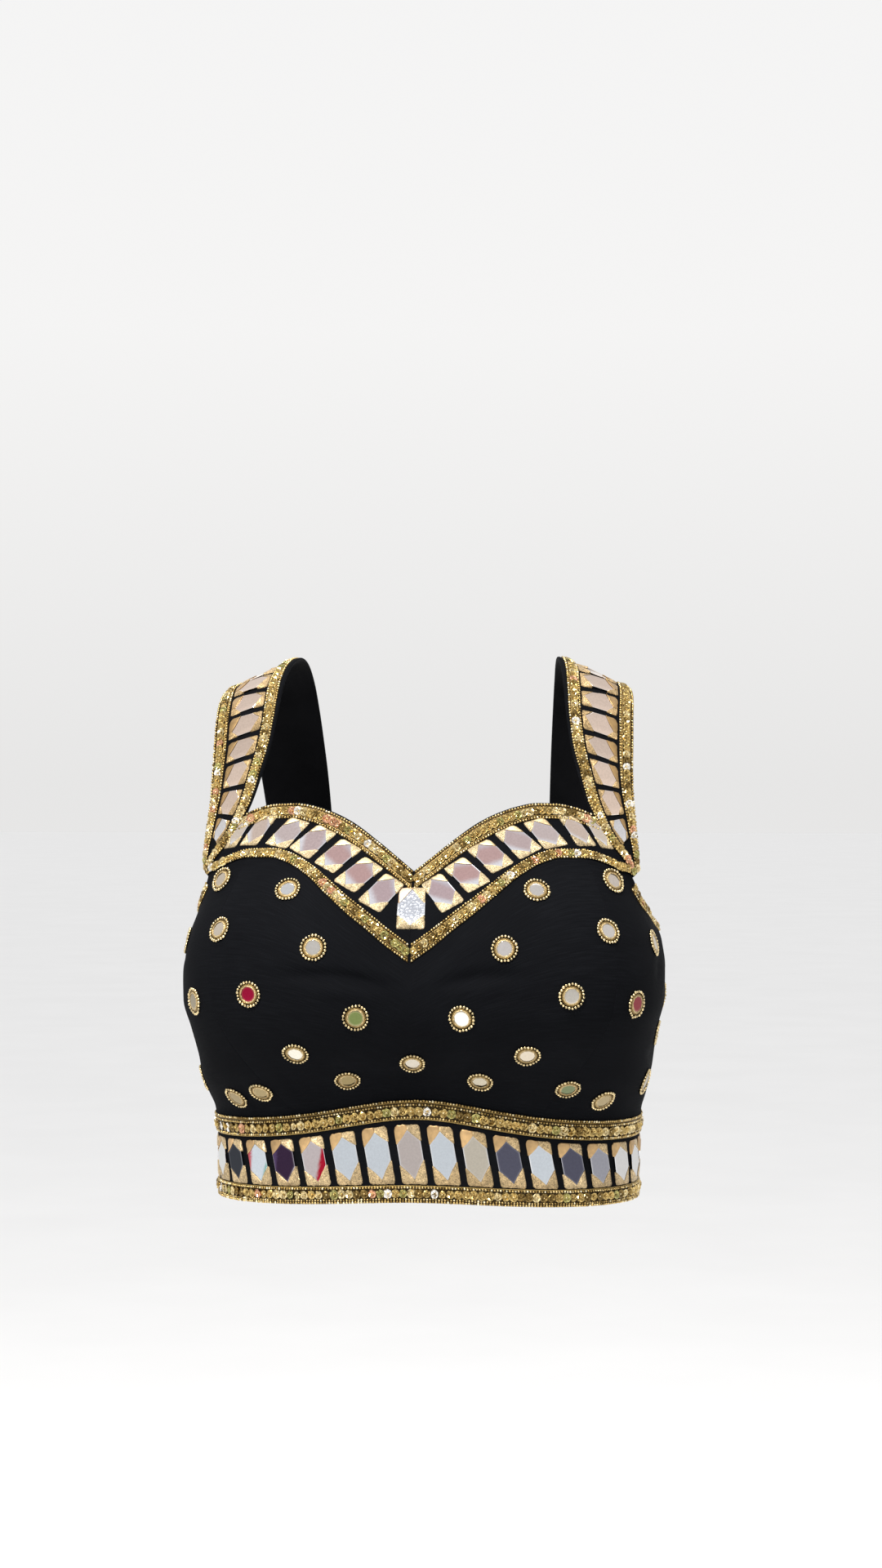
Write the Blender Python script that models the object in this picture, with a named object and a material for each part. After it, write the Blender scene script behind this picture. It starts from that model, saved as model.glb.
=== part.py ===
"""A sleeveless cropped blouse in its worn, hollow form: a sweetheart front with a
bordered neck band, wide shoulder straps, a bordered waist band, a plain back with a
centre-back opening.

Frame: +Z up, the wearer faces -Y, +X is the wearer's left. The origin is midway between
the two straps on the shoulder line. All tables and constants are in millimetres.
"""

import math

import bmesh
import bpy
import numpy as np

for old in list(bpy.data.objects):
    bpy.data.objects.remove(old, do_unlink=True)

MM = 0.001

# ---------------------------------------------------------------- driving dimensions
WALL = 2.0            # cloth and its lining, together
GAP = 0.3             # between neighbouring pieces
UP = 0.4              # the same across a slanting edge
TRIM_T = 1.2          # beaded trim, thickness
TRIM_STRAP = 8.6      # beaded trim on the straps, width
HEM_SIDE_Z = -325.0       # the hem at the side seams and the back
HEM_RISE = 6.0            # how far it rises at the centre front
TUCK = 0.05               # how far the armhole is drawn in under the arm, of the radius
WAIST_TRIM_LOW = 10.0
WAIST_TRIM_TOP = 12.0
WAIST_TOP_SIDE = -274.5   # the underbust seam at the side seam
WAIST_ARCH = 16.0         # how far that seam rises at the centre front
ARCH_SPREAD = 42.0        # degrees
SEAM_BOTTOM = 44.0        # princess seam at the underbust, degrees from centre front
SEAM_TOP_X = 98.0         # princess seam at the neck band
STRAP_BACK_Z = -137.0     # where a strap meets the back
BACK_NECK_Z = -166.0      # the back neck at the centre back
UNDERARM_Z = -160.0
PLACKET_HALF = 12.0
HOOKS = 5
HOOK_W, HOOK_H = 8.0, 5.0

# Sections of the general figure that the cut is filled out to, top to bottom:
# half width, depth forward, depth back, roundness of front and back (2 is an ellipse),
# and how far the cloth dips between the cups.
FORM = [
    # z,    half_w, front, back, n_front, n_back, dip
    (40,     22,    22,    22,   2.0,     2.0,    0),
    (14,     46,    42,    40,   2.0,     2.0,    0),
    (0,      73,    46,    44,   2.0,     2.0,    0),
    (-11,    96,    50,    47,   2.0,     2.0,    0),
    (-23,    121,   55,    52,   2.0,     2.0,    0),
    (-45,    147,   62,    62,   2.1,     2.1,    0),
    (-70,    150,   71,    74,   2.3,     2.3,    1),
    (-95,    147,   79,    84,   2.5,     2.4,    3),
    (-110,   142.5, 86,    89,   2.7,     2.5,    5),
    (-125,   137,   97,    93,   2.9,     2.5,    8),
    (-139,   133,   109,   96,   3.1,     2.6,    10),
    (-155,   135.5, 119,   98,   3.3,     2.6,    10),
    (-170,   138.5, 125,   99,   3.4,     2.6,    9),
    (-188,   140.8, 128,   99,   3.5,     2.6,    7),
    (-204,   140.6, 127,   98,   3.5,     2.6,    6),
    (-220,   137,   122,   97,   3.4,     2.5,    5),
    (-235,   134.5, 114,   96,   3.2,     2.5,    4),
    (-250,   132.5, 102,   95,   3.0,     2.4,    2),
    (-262,   129.5, 91,    94,   2.7,     2.4,    1),
    (-273,   126.3, 85,    94,   2.5,     2.4,    0),
    (-300,   124.7, 84,    93,   2.4,     2.4,    0),
    (-345,   124,   84,    92,   2.4,     2.4,    0),
]

# The neck band's two edges, seen from the front.
BAND_UPPER = [
    # x,   z
    (0,    -128.3),
    (10,   -120.4),
    (20.7, -111.7),
    (36.9, -99.9),
    (47.6, -94.6),
    (58.4, -90.9),
    (69,   -89.0),
    (80,   -89.2),
    (100.0, -94.0),
]
BAND_LOWER = [
    # x,    z
    (0,     -180.5),
    (15,    -170.0),
    (26,    -161.0),
    (37.6,  -152.0),
    (49,    -142.0),
    (60.4,  -132.2),
    (72,    -125.0),
    (84,    -121.6),
    (97,    -121.6),
    (110,   -125.2),
    (118,   -130.0),
    (123.6, -138.0),
]

# A strap, from its front point over the shoulder to the back. The angle is measured
# about the line y = 0, z = -100: 90 is forward, 0 is up, -90 is back.
STRAP = [
    # angle, x_inner, x_outer, bare edge of cloth inside the neck trim
    (118,   123.4,   125.2,   0),
    (112,   120.4,   125.9,   0),
    (107,   116.5,   126.0,   0),
    (101,   110.4,   125.7,   0),
    (94,    104.6,   125.2,   0),
    (85,    100.0,   124.6,   0),
    (77,    96.5,    124.1,   0.5),
    (63,    91.7,    123.8,   1.2),
    (52,    88.4,    123.8,   1.0),
    (38,    85.2,    123.8,   1.3),
    (23,    82.6,    123.8,   2.0),
    (10,    79.8,    122.8,   2.3),
    (0,     77.4,    121.0,   2.3),
    (-20,   74.4,    117.6,   2.0),
    (-45,   71.8,    113.4,   1.5),
    (-70,   70.0,    110.0,   1.0),
    (-95,   68.8,    107.4,   0.3),
    (-112,  68.5,    106.5,   0),
]


# ---------------------------------------------------------------- curves and the form
def smooth_table(table):
    """A function of the first column that runs smoothly through the others, without
    overshoot (monotone cubic)."""
    t = np.array(sorted(table), float)
    x, y = t[:, 0], t[:, 1:]
    h = np.diff(x)[:, None]
    slope = np.diff(y, axis=0) / h
    m = np.zeros_like(y)
    same = slope[:-1] * slope[1:] > 0
    before, after = np.where(same, slope[:-1], 1), np.where(same, slope[1:], 1)
    m[1:-1] = np.where(
        same, 3 * (h[:-1] + h[1:]) / ((2 * h[1:] + h[:-1]) / before
                                      + (h[1:] + 2 * h[:-1]) / after), 0)
    m[0], m[-1] = slope[0], slope[-1]

    def value(at):
        at = np.clip(np.asarray(at, float), x[0], x[-1])
        i = np.clip(np.searchsorted(x, at) - 1, 0, len(x) - 2)
        w = (x[i + 1] - x[i])
        s = ((at - x[i]) / w)[..., None]
        w = w[..., None]
        return ((1 + 2 * s) * (1 - s) ** 2 * y[i] + s * (1 - s) ** 2 * w * m[i]
                + s * s * (3 - 2 * s) * y[i + 1] + s * s * (s - 1) * w * m[i + 1])

    return value


def step(t):
    t = np.clip(t, 0, 1)
    return t * t * (3 - 2 * t)


section = smooth_table(FORM)
band_upper = smooth_table(BAND_UPPER)
band_lower = smooth_table(BAND_LOWER)
strap_edges = smooth_table(STRAP)


def arch(theta):
    """How far the underbust seam is raised at an angle from the centre front."""
    return WAIST_ARCH * np.exp(-(np.degrees(theta) / ARCH_SPREAD) ** 2)


def radius(theta, z):
    """Distance from the axis to the form at an angle from the centre front."""
    theta = (np.asarray(theta, float) + math.pi) % (2 * math.pi) - math.pi
    z = z - arch(theta) * step((-200 - np.asarray(z, float)) / 45)
    a, f, b, nf, nb, dip = np.moveaxis(section(z), -1, 0)
    s, c = np.abs(np.sin(theta)), np.cos(theta)
    d, n = np.where(c >= 0, f, b), np.where(c >= 0, nf, nb)
    r = ((s / a) ** n + (np.abs(c) / d) ** n) ** (-1 / n)
    tuck = (TUCK * np.exp(-((np.degrees(np.abs(theta)) - 88) / 20) ** 2)
            * step((z + 172) / 24) * step((-118 - z) / 20))
    return r * (1 - tuck) - dip * np.exp(-(np.degrees(theta) / 17) ** 2)


def outside(p):
    return np.hypot(p[..., 0], p[..., 1]) - radius(
        np.arctan2(p[..., 0], -p[..., 1]), p[..., 2])


def normal(p):
    """Outward direction of the form at points on it."""
    g = np.stack(
        [outside(p + d) - outside(p - d) for d in np.eye(3) * 0.8], axis=-1)
    return g / np.linalg.norm(g, axis=-1, keepdims=True)


def on_torso(theta, z):
    r = radius(theta, z)
    return np.stack([r * np.sin(theta), -r * np.cos(theta), z + 0 * r], axis=-1)


def on_shoulder(x, angle):
    """The point of the form at a width x, at an angle about the line y 0, z -100."""
    x, angle = np.broadcast_arrays(np.asarray(x, float), np.radians(angle))
    low, high = np.full(x.shape, 4.0), np.full(x.shape, 220.0)
    for _ in range(40):
        t = (low + high) / 2
        p = np.stack([x, -t * np.sin(angle), -100 + t * np.cos(angle)], axis=-1)
        inside = outside(p) < 0
        low, high = np.where(inside, t, low), np.where(inside, high, t)
    return p


def angle_of(x, z):
    """The angle from the centre front of the front point of the form at a width x."""
    x, z = np.broadcast_arrays(np.asarray(x, float), np.asarray(z, float))
    low, high = np.zeros(x.shape), np.full(x.shape, math.pi / 2)
    for _ in range(40):
        t = (low + high) / 2
        short = radius(t, z) * np.sin(t) < np.abs(x)
        low, high = np.where(short, t, low), np.where(short, high, t)
    return np.sign(x) * t


def waist_top(theta):
    return WAIST_TOP_SIDE + arch(theta)


def hem(theta):
    theta = (theta + math.pi) % (2 * math.pi) - math.pi
    return HEM_SIDE_Z + HEM_RISE * np.exp(-(np.degrees(theta) / 52) ** 2)


def between(first, last, shares):
    """Rows of points from the line first to the line last."""
    w = np.asarray(shares, float)[None, :, None]
    return first[:, None] * (1 - w) + last[:, None] * w


def torso_panel(first, last, shares):
    """A grid of points on the form between two lines of (angle, z)."""
    g = between(first, last, shares)
    return on_torso(g[..., 0], g[..., 1])


def mirrored(grid):
    return grid * np.array([-1.0, 1.0, 1.0])


# ---------------------------------------------------------------- making the pieces
def material(name, colour, roughness, metallic=0.0):
    m = bpy.data.materials.new(name)
    m.use_nodes = True
    shader = m.node_tree.nodes["Principled BSDF"]
    shader.inputs["Base Color"].default_value = (*colour, 1)
    shader.inputs["Roughness"].default_value = roughness
    shader.inputs["Metallic"].default_value = metallic
    m.diffuse_color = (*colour, 1)
    return m


BLACK = (0.012, 0.012, 0.015)
GOLD = (0.72, 0.52, 0.22)


def piece(name, grid, low, high, colour=BLACK, roughness=0.75, metallic=0.0, ring=False):
    """A wall over a grid of points on the form, from low to high above it."""
    n = normal(grid)
    layers = [grid + n * low, grid + n * high]
    nu, nv = grid.shape[:2]
    bm = bmesh.new()
    inner, outer = [
        [[bm.verts.new(layer[i, j] * MM) for j in range(nv)] for i in range(nu)]
        for layer in layers
    ]
    cells = nu if ring else nu - 1
    for i in range(cells):
        k = (i + 1) % nu
        for j in range(nv - 1):
            for v, turn in ((outer, 1), (inner, -1)):
                bm.faces.new((v[i][j], v[k][j], v[k][j + 1])[::turn])
                bm.faces.new((v[i][j], v[k][j + 1], v[i][j + 1])[::turn])
        for j in (0, nv - 1):
            bm.faces.new((inner[i][j], inner[k][j], outer[k][j]))
            bm.faces.new((inner[i][j], outer[k][j], outer[i][j]))
    if not ring:
        for i in (0, nu - 1):
            for j in range(nv - 1):
                bm.faces.new((inner[i][j], outer[i][j + 1], inner[i][j + 1]))
                bm.faces.new((inner[i][j], outer[i][j], outer[i][j + 1]))
    bmesh.ops.recalc_face_normals(bm, faces=bm.faces)
    if bm.calc_volume(signed=True) < 0:
        bmesh.ops.reverse_faces(bm, faces=bm.faces)
    mesh = bpy.data.meshes.new(name)
    bm.to_mesh(mesh)
    bm.free()
    mesh.materials.append(material(name, colour, roughness, metallic))
    mesh.shade_smooth()
    mesh.set_sharp_from_angle(angle=math.radians(40))
    obj = bpy.data.objects.new(name, mesh)
    bpy.context.scene.collection.objects.link(obj)
    return obj


def both(name, grid, low, high, **finish):
    """The wearer's left piece and its mirror image on the right."""
    piece(name + "_L", grid, low, high, **finish)
    piece(name + "_R", mirrored(grid), low, high, **finish)


def trim(name, grid, **more):
    """A beaded trim over the same points as the cloth below it, moved out."""
    both(name, grid, WALL + GAP, WALL + GAP + TRIM_T,
         colour=GOLD, roughness=0.35, metallic=0.8, **more)


# ---------------------------------------------------------------- straps
def strap_grid(angles):
    x_in, x_out, bare = np.moveaxis(strap_edges(angles), -1, 0)
    width = np.linalg.norm(
        on_shoulder(x_out, angles) - on_shoulder(x_in, angles), axis=-1)
    t = np.minimum(TRIM_STRAP, 0.45 * width)
    bare = np.maximum(bare, 0.2)
    shares = np.stack([0 * t, bare, bare + t, (bare + width) / 2, width - t, width], -1)
    x = x_in[:, None] + (x_out - x_in)[:, None] * shares / width[:, None]
    return on_shoulder(x, np.broadcast_to(angles[:, None], x.shape))


BAND_END = np.array([117.4, 111.5, 104.0, 95.6, 85.4])   # where the band joins it
strap_angles = np.concatenate([
    BAND_END + [0.6, 0, 0, 0, 0], np.linspace(77, -104, 23), [-112.0]])
strap = strap_grid(strap_angles)
both("strap", strap, 0, WALL)
trim("trim_strap_neck", strap[:, 1:3])
trim("trim_strap_arm", strap[:, 4:])

# ---------------------------------------------------------------- neck band
SHARES = (0.0, 0.235, 0.5, 0.765, 1.0)
SEAM_X = 0.4      # half the mitred seam at the centre front
END = on_shoulder(strap_edges(BAND_END)[..., 0] - 0.55, BAND_END)[:, [0, 2]]
LOW_X = np.concatenate(
    [np.linspace(SEAM_X, SEAM_TOP_X, 12), [105.5, 112.5, 118.5], END[:1, 0]])
FRONT_COLUMNS = 12



def band_grid():
    """A Coons patch between the band's two edges, the centre front and the strap."""
    s = (LOW_X - LOW_X[0]) / (LOW_X[-1] - LOW_X[0])
    x_up = SEAM_X + (END[-1, 0] - SEAM_X) * s
    lower = np.stack([LOW_X, band_lower(LOW_X)[..., 0]], -1)
    upper = np.stack([x_up, band_upper(x_up)[..., 0]], -1)
    lower[-1], upper[-1] = END[0], END[-1]
    w = np.array(SHARES)
    start = lower[0] + (upper[0] - lower[0]) * w[:, None]
    s, w = s[:, None, None], w[None, :, None]
    p = (lower[:, None] * (1 - w) + upper[:, None] * w
         + start[None] * (1 - s) + END[None] * s
         - (lower[0] * (1 - s) * (1 - w) + lower[-1] * s * (1 - w)
            + upper[0] * (1 - s) * w + upper[-1] * s * w))
    x, z = p[..., 0], p[..., 1]
    return on_torso(angle_of(x, z), z)


neck = band_grid()
both("neck_band", neck, 0, WALL)
trim("trim_neck_low", neck[:, :2])
trim("trim_neck_top", neck[:, 3:])

# The line GAP below the band, square to its slanting edge: x and z.
under_x, under_z = neck[:, 0, 0], neck[:, 0, 2]
under_z = under_z - UP * np.sqrt(1 + np.gradient(under_z, under_x) ** 2)

# ---------------------------------------------------------------- front panels
rows_front = np.linspace(0, 1, 12)

x = np.concatenate([-under_x[:FRONT_COLUMNS][::-1], under_x[:FRONT_COLUMNS]])
z = np.concatenate([under_z[:FRONT_COLUMNS][::-1], under_z[:FRONT_COLUMNS]])
top = np.stack([angle_of(x, z), z], -1)
theta = np.radians(np.linspace(-SEAM_BOTTOM, SEAM_BOTTOM, len(x)))
bottom = np.stack([theta, waist_top(theta) + GAP], -1)
piece("front_centre", torso_panel(bottom, top, rows_front), 0, WALL)

SEAM = math.radians(0.18)
x, z = under_x[FRONT_COLUMNS - 1:], under_z[FRONT_COLUMNS - 1:]
first = np.stack([angle_of(x, z), z], -1)
first[0, 0] += SEAM
armhole_front = smooth_table([
    # angle from the centre front, z
    (math.degrees(first[-1, 0]), first[-1, 1]),
    (67, -143.0),
    (73, -148.0),
    (81, -155.5),
    (90, UNDERARM_Z),
])
turn = np.linspace(math.degrees(first[-1, 0]), 90, 7)[1:]
turn[-1] -= math.degrees(SEAM) / 2
side_top = np.concatenate(
    [first, np.stack([np.radians(turn), armhole_front(turn)[..., 0]], -1)])
turn = np.interp(np.arange(len(side_top)), [0, 4, len(side_top) - 1],
                 [SEAM_BOTTOM + math.degrees(SEAM), 60, 90 - math.degrees(SEAM) / 2])
side_bottom = np.stack(
    [np.radians(turn), waist_top(np.radians(turn)) + GAP], -1)
TRIM_ARM = 8.6
side_h = (side_top[:, 1] - side_bottom[:, 1]).mean()
rows_side = np.append(np.linspace(0, 1 - TRIM_ARM / side_h, 11), 1)
side = torso_panel(side_bottom, side_top, rows_side)
both("front_side", side, 0, WALL)

# ---------------------------------------------------------------- back panels
strap_end = strap[-1]
end_angle = np.degrees(np.arctan2(strap_end[:, 0], -strap_end[:, 1]))
out_angle, in_angle = end_angle[-1], end_angle[0]
back_arm = smooth_table([
    (90, UNDERARM_Z),
    (104, -158.5),
    (116, -152.5),
    (out_angle - 3.5, strap_end[-1, 2] - 7.5),
    (out_angle - 0.2, strap_end[-1, 2] - UP),
])
back_neck = smooth_table([
    (in_angle + 0.2, strap_end[0, 2] - UP),
    (in_angle + 4, strap_end[0, 2] - 9.5),
    (in_angle + 12, strap_end[0, 2] - 20.0),
    (in_angle + 24, BACK_NECK_Z + 1.2),
    (180, BACK_NECK_Z),
])
arm_turn = np.linspace(90 + math.degrees(SEAM) / 2, out_angle - 0.2, 8)
neck_turn = np.linspace(in_angle + 0.2, 180 - 0.2, 8)
back_top = np.concatenate([
    np.stack([np.radians(arm_turn), back_arm(arm_turn)[..., 0]], -1),
    np.stack([np.radians(end_angle[::-1][1:-1]), strap_end[::-1][1:-1, 2] - UP], -1),
    np.stack([np.radians(neck_turn), back_neck(neck_turn)[..., 0]], -1),
])
turn = np.linspace(90 + math.degrees(SEAM) / 2, 180 - 0.2, len(back_top))
back_bottom = np.stack(
    [np.radians(turn), waist_top(np.radians(turn)) + GAP], -1)
back_h = (back_top[:, 1] - back_bottom[:, 1]).mean()
rows_back = np.append(np.linspace(0, 1 - TRIM_ARM / back_h, 7), 1)
back = torso_panel(back_bottom, back_top, rows_back)
both("back", back, 0, WALL)

# The armhole's trim runs from below the strap, across the side seam, to the strap's back.
arm_rows = np.concatenate([side[4:, -2:], back[:len(arm_turn), -2:]])
trim("trim_armhole", arm_rows)
trim("trim_back_neck", back[-len(neck_turn):, -2:])

# ---------------------------------------------------------------- waist band
def waist_grid(turn):
    theta = np.radians(turn)
    top, low = waist_top(theta), hem(theta)
    zs = np.stack([
        low,
        low + WAIST_TRIM_LOW,
        (low + WAIST_TRIM_LOW + top - WAIST_TRIM_TOP) / 2,
        top - WAIST_TRIM_TOP,
        top], -1)
    return on_torso(np.broadcast_to(theta[:, None], zs.shape), zs)


edge = math.degrees(SEAM) / 2
waist_front = waist_grid(np.linspace(-90 + edge, 90 - edge, 29))
piece("waist_front", waist_front, 0, WALL)
waist_back = waist_grid(np.linspace(90 + edge, 180 - 0.2, 12))
both("waist_back", waist_back, 0, WALL)
# One length of trim from the centre back, round the front, to the centre back.
all_round = np.concatenate([mirrored(waist_back)[::-1], waist_front, waist_back])
gold = dict(colour=GOLD, roughness=0.35, metallic=0.8)
piece("trim_waist_low", all_round[:, :2], WALL + GAP, WALL + GAP + TRIM_T, **gold)
piece("trim_waist_top", all_round[:, 3:], WALL + GAP, WALL + GAP + TRIM_T, **gold)

# ---------------------------------------------------------------- back opening
def back_patch(centre_mm, half_mm, z_low, z_high, columns, rows):
    """A small patch across the centre back, by widths in millimetres."""
    r = 94.0
    turn = math.pi + (centre_mm + np.linspace(-half_mm, half_mm, columns)) / r
    zs = np.linspace(z_low, z_high, rows)
    t, zz = np.meshgrid(turn, zs, indexing="ij")
    return on_torso(t, zz)


piece("placket", back_patch(0, PLACKET_HALF, HEM_SIDE_Z + 1, BACK_NECK_Z - 2, 5, 8),
      -3.8, -2.2)
for k in range(HOOKS):
    z0 = HEM_SIDE_Z + 9 + k * (BACK_NECK_Z - HEM_SIDE_Z - 22) / (HOOKS - 1)
    piece(f"hook_{k + 1}", back_patch(0, HOOK_W / 2, z0, z0 + HOOK_H, 3, 2),
          -1.8, -0.5, colour=(0.05, 0.05, 0.055), roughness=0.4, metallic=1.0)
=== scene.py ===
"""Surface model of a sleeveless cropped blouse: black raw silk panels with soft creases,
gold bead and sequin trims, mirror tiles held by embroidered corners, and round
bead-ringed mirrors.

Frame: +Z up, the wearer faces -Y, +X is the wearer's left, metres. All tables and
constants below are in millimetres and degrees unless a name says otherwise.
"""
import math

import bpy
import numpy as np
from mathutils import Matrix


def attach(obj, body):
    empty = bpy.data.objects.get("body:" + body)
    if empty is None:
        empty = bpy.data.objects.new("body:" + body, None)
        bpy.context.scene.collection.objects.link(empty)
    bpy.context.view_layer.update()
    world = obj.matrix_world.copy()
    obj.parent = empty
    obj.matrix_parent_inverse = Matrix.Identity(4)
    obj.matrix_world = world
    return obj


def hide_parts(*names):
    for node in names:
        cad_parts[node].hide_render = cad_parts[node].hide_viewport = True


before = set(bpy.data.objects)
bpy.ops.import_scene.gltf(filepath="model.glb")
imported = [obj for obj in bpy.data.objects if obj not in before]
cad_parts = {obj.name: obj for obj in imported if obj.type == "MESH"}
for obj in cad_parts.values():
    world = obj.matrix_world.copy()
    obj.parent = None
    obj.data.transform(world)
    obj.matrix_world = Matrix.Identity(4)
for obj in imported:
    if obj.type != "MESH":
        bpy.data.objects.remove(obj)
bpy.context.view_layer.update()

MM = 0.001

# ================================================================ camera
EYE_DISTANCE, EYE_TURN, EYE_HEIGHT, EYE_SIDE = 1700.0, 5.0, -77.7, 7.4
turn = math.radians(EYE_TURN)
side_way = np.array([math.cos(turn), math.sin(turn), 0.0])
eye = (EYE_DISTANCE * np.array([math.sin(turn), -math.cos(turn), 0.0])
       + EYE_SIDE * side_way + np.array([0.0, 0.0, EYE_HEIGHT]))
cam_data = bpy.data.cameras.new("camera")
cam_data.sensor_fit = "AUTO"
cam_data.sensor_width = 36.0
cam_data.lens = 64.39
cam = bpy.data.objects.new("camera", cam_data)
cam.location = [float(c) * MM for c in eye]
cam.rotation_euler = (math.pi / 2, 0.0, turn)
bpy.context.scene.collection.objects.link(cam)
bpy.context.scene.camera = cam

# ================================================================ the form and the cut
WALL = 2.0
HEM_SIDE_Z, HEM_RISE = -325.0, 6.0
TUCK = 0.05
WAIST_TRIM_LOW, WAIST_TRIM_TOP = 10.0, 12.0
WAIST_TOP_SIDE, WAIST_ARCH, ARCH_SPREAD = -274.5, 16.0, 42.0
SEAM_BOTTOM, SEAM_TOP_X = 44.0, 98.0
BACK_NECK_Z, UNDERARM_Z = -166.0, -160.0
TRIM_W = 8.8

# Widths of the strap's two trims along it.
STRAP_TRIMS = [
    # angle, at the neck, at the armhole
    (118,    4.0,  4.0),
    (104,    7.0,  5.2),
    (87,     7.7,  6.4),
    (71,     7.8,  8.2),
    (57,     7.9,  9.2),
    (40,     8.2,  9.8),
    (24,     9.0,  10.0),
    (8,      9.4,  9.8),
    (-20,    9.0,  9.2),
    (-112,   8.8,  8.8),
]

# Sections of the figure: half width, depth forward, depth back, roundness of front and
# back, and the dip between the cups.
FORM = [
    # z,    half_w, front, back, n_front, n_back, dip
    (40,     22,    22,    22,   2.0,     2.0,    0),
    (14,     46,    42,    40,   2.0,     2.0,    0),
    (0,      73,    46,    44,   2.0,     2.0,    0),
    (-11,    96,    50,    47,   2.0,     2.0,    0),
    (-23,    121,   55,    52,   2.0,     2.0,    0),
    (-45,    147,   62,    62,   2.1,     2.1,    0),
    (-70,    150,   71,    74,   2.3,     2.3,    1),
    (-95,    147,   79,    84,   2.5,     2.4,    3),
    (-110,   142.5, 86,    89,   2.7,     2.5,    5),
    (-125,   137,   97,    93,   2.9,     2.5,    8),
    (-139,   133,   109,   96,   3.1,     2.6,    10),
    (-155,   135.5, 119,   98,   3.3,     2.6,    10),
    (-170,   138.5, 125,   99,   3.4,     2.6,    9),
    (-188,   140.8, 128,   99,   3.5,     2.6,    7),
    (-204,   140.6, 127,   98,   3.5,     2.6,    6),
    (-220,   137,   122,   97,   3.4,     2.5,    5),
    (-235,   134.5, 114,   96,   3.2,     2.5,    4),
    (-250,   132.5, 102,   95,   3.0,     2.4,    2),
    (-262,   129.5, 91,    94,   2.7,     2.4,    1),
    (-273,   126.3, 85,    94,   2.5,     2.4,    0),
    (-300,   124.7, 84,    93,   2.4,     2.4,    0),
    (-345,   124,   84,    92,   2.4,     2.4,    0),
]
BAND_UPPER = [
    # x,   z
    (0,    -128.3), (10,   -120.4), (20.7, -111.7), (36.9, -99.9), (47.6, -94.6),
    (58.4, -90.9), (69,   -89.0), (80,   -89.2), (100.0, -94.0),
]
BAND_LOWER = [
    # x,    z
    (0,     -180.5), (15,    -170.0), (26,    -161.0), (37.6,  -152.0), (49,    -142.0),
    (60.4,  -132.2), (72,    -125.0), (84,    -121.6), (97,    -121.6), (110,   -125.2),
    (118,   -130.0), (123.6, -138.0),
]
# A strap: the angle is about the line y = 0, z = -100; 90 is forward, 0 up, -90 back.
STRAP = [
    # angle, x_inner, x_outer, bare edge of cloth inside the neck trim
    (118,   123.4,   125.2,   0),
    (112,   120.4,   125.9,   0),
    (107,   116.5,   126.0,   0),
    (101,   110.4,   125.7,   0),
    (94,    104.6,   125.2,   0),
    (85,    100.0,   124.6,   0),
    (77,    96.5,    124.1,   0.5),
    (63,    91.7,    123.8,   1.2),
    (52,    88.4,    123.8,   1.0),
    (38,    85.2,    123.8,   1.3),
    (23,    82.6,    123.8,   2.0),
    (10,    79.8,    122.8,   2.3),
    (0,     77.4,    121.0,   2.3),
    (-20,   74.4,    117.6,   2.0),
    (-45,   71.8,    113.4,   1.5),
    (-70,   70.0,    110.0,   1.0),
    (-95,   68.8,    107.4,   0.3),
    (-112,  68.5,    106.5,   0),
]


def smooth_table(table):
    """A function of the first column that runs smoothly through the others, without
    overshoot (monotone cubic)."""
    t = np.array(sorted(table), float)
    x, y = t[:, 0], t[:, 1:]
    h = np.diff(x)[:, None]
    slope = np.diff(y, axis=0) / h
    m = np.zeros_like(y)
    same = slope[:-1] * slope[1:] > 0
    before, after = np.where(same, slope[:-1], 1), np.where(same, slope[1:], 1)
    m[1:-1] = np.where(
        same, 3 * (h[:-1] + h[1:]) / ((2 * h[1:] + h[:-1]) / before
                                      + (h[1:] + 2 * h[:-1]) / after), 0)
    m[0], m[-1] = slope[0], slope[-1]

    def value(at):
        at = np.clip(np.asarray(at, float), x[0], x[-1])
        i = np.clip(np.searchsorted(x, at) - 1, 0, len(x) - 2)
        w = (x[i + 1] - x[i])
        s = ((at - x[i]) / w)[..., None]
        w = w[..., None]
        return ((1 + 2 * s) * (1 - s) ** 2 * y[i] + s * (1 - s) ** 2 * w * m[i]
                + s * s * (3 - 2 * s) * y[i + 1] + s * s * (s - 1) * w * m[i + 1])

    return value


def step(t):
    t = np.clip(t, 0, 1)
    return t * t * (3 - 2 * t)


section = smooth_table(FORM)
band_upper = smooth_table(BAND_UPPER)
band_lower = smooth_table(BAND_LOWER)
strap_edges = smooth_table(STRAP)
strap_trims = smooth_table(STRAP_TRIMS)


def arch(theta):
    return WAIST_ARCH * np.exp(-(np.degrees(theta) / ARCH_SPREAD) ** 2)


def wrap(theta):
    return (np.asarray(theta, float) + math.pi) % (2 * math.pi) - math.pi


def radius(theta, z):
    """Distance from the axis to the form at an angle from the centre front."""
    theta = wrap(theta)
    z = z - arch(theta) * step((-200 - np.asarray(z, float)) / 45)
    a, f, b, nf, nb, dip = np.moveaxis(section(z), -1, 0)
    s, c = np.abs(np.sin(theta)), np.cos(theta)
    d, n = np.where(c >= 0, f, b), np.where(c >= 0, nf, nb)
    r = ((s / a) ** n + (np.abs(c) / d) ** n) ** (-1 / n)
    tuck = (TUCK * np.exp(-((np.degrees(np.abs(theta)) - 88) / 20) ** 2)
            * step((z + 172) / 24) * step((-118 - z) / 20))
    return r * (1 - tuck) - dip * np.exp(-(np.degrees(theta) / 17) ** 2)


def outside(p):
    return np.hypot(p[..., 0], p[..., 1]) - radius(
        np.arctan2(p[..., 0], -p[..., 1]), p[..., 2])


def unit(v):
    return v / np.maximum(np.linalg.norm(v, axis=-1, keepdims=True), 1e-9)


def normal(p):
    """Outward direction of the form at points on it."""
    return unit(np.stack(
        [outside(p + d) - outside(p - d) for d in np.eye(3) * 0.8], axis=-1))


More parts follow.
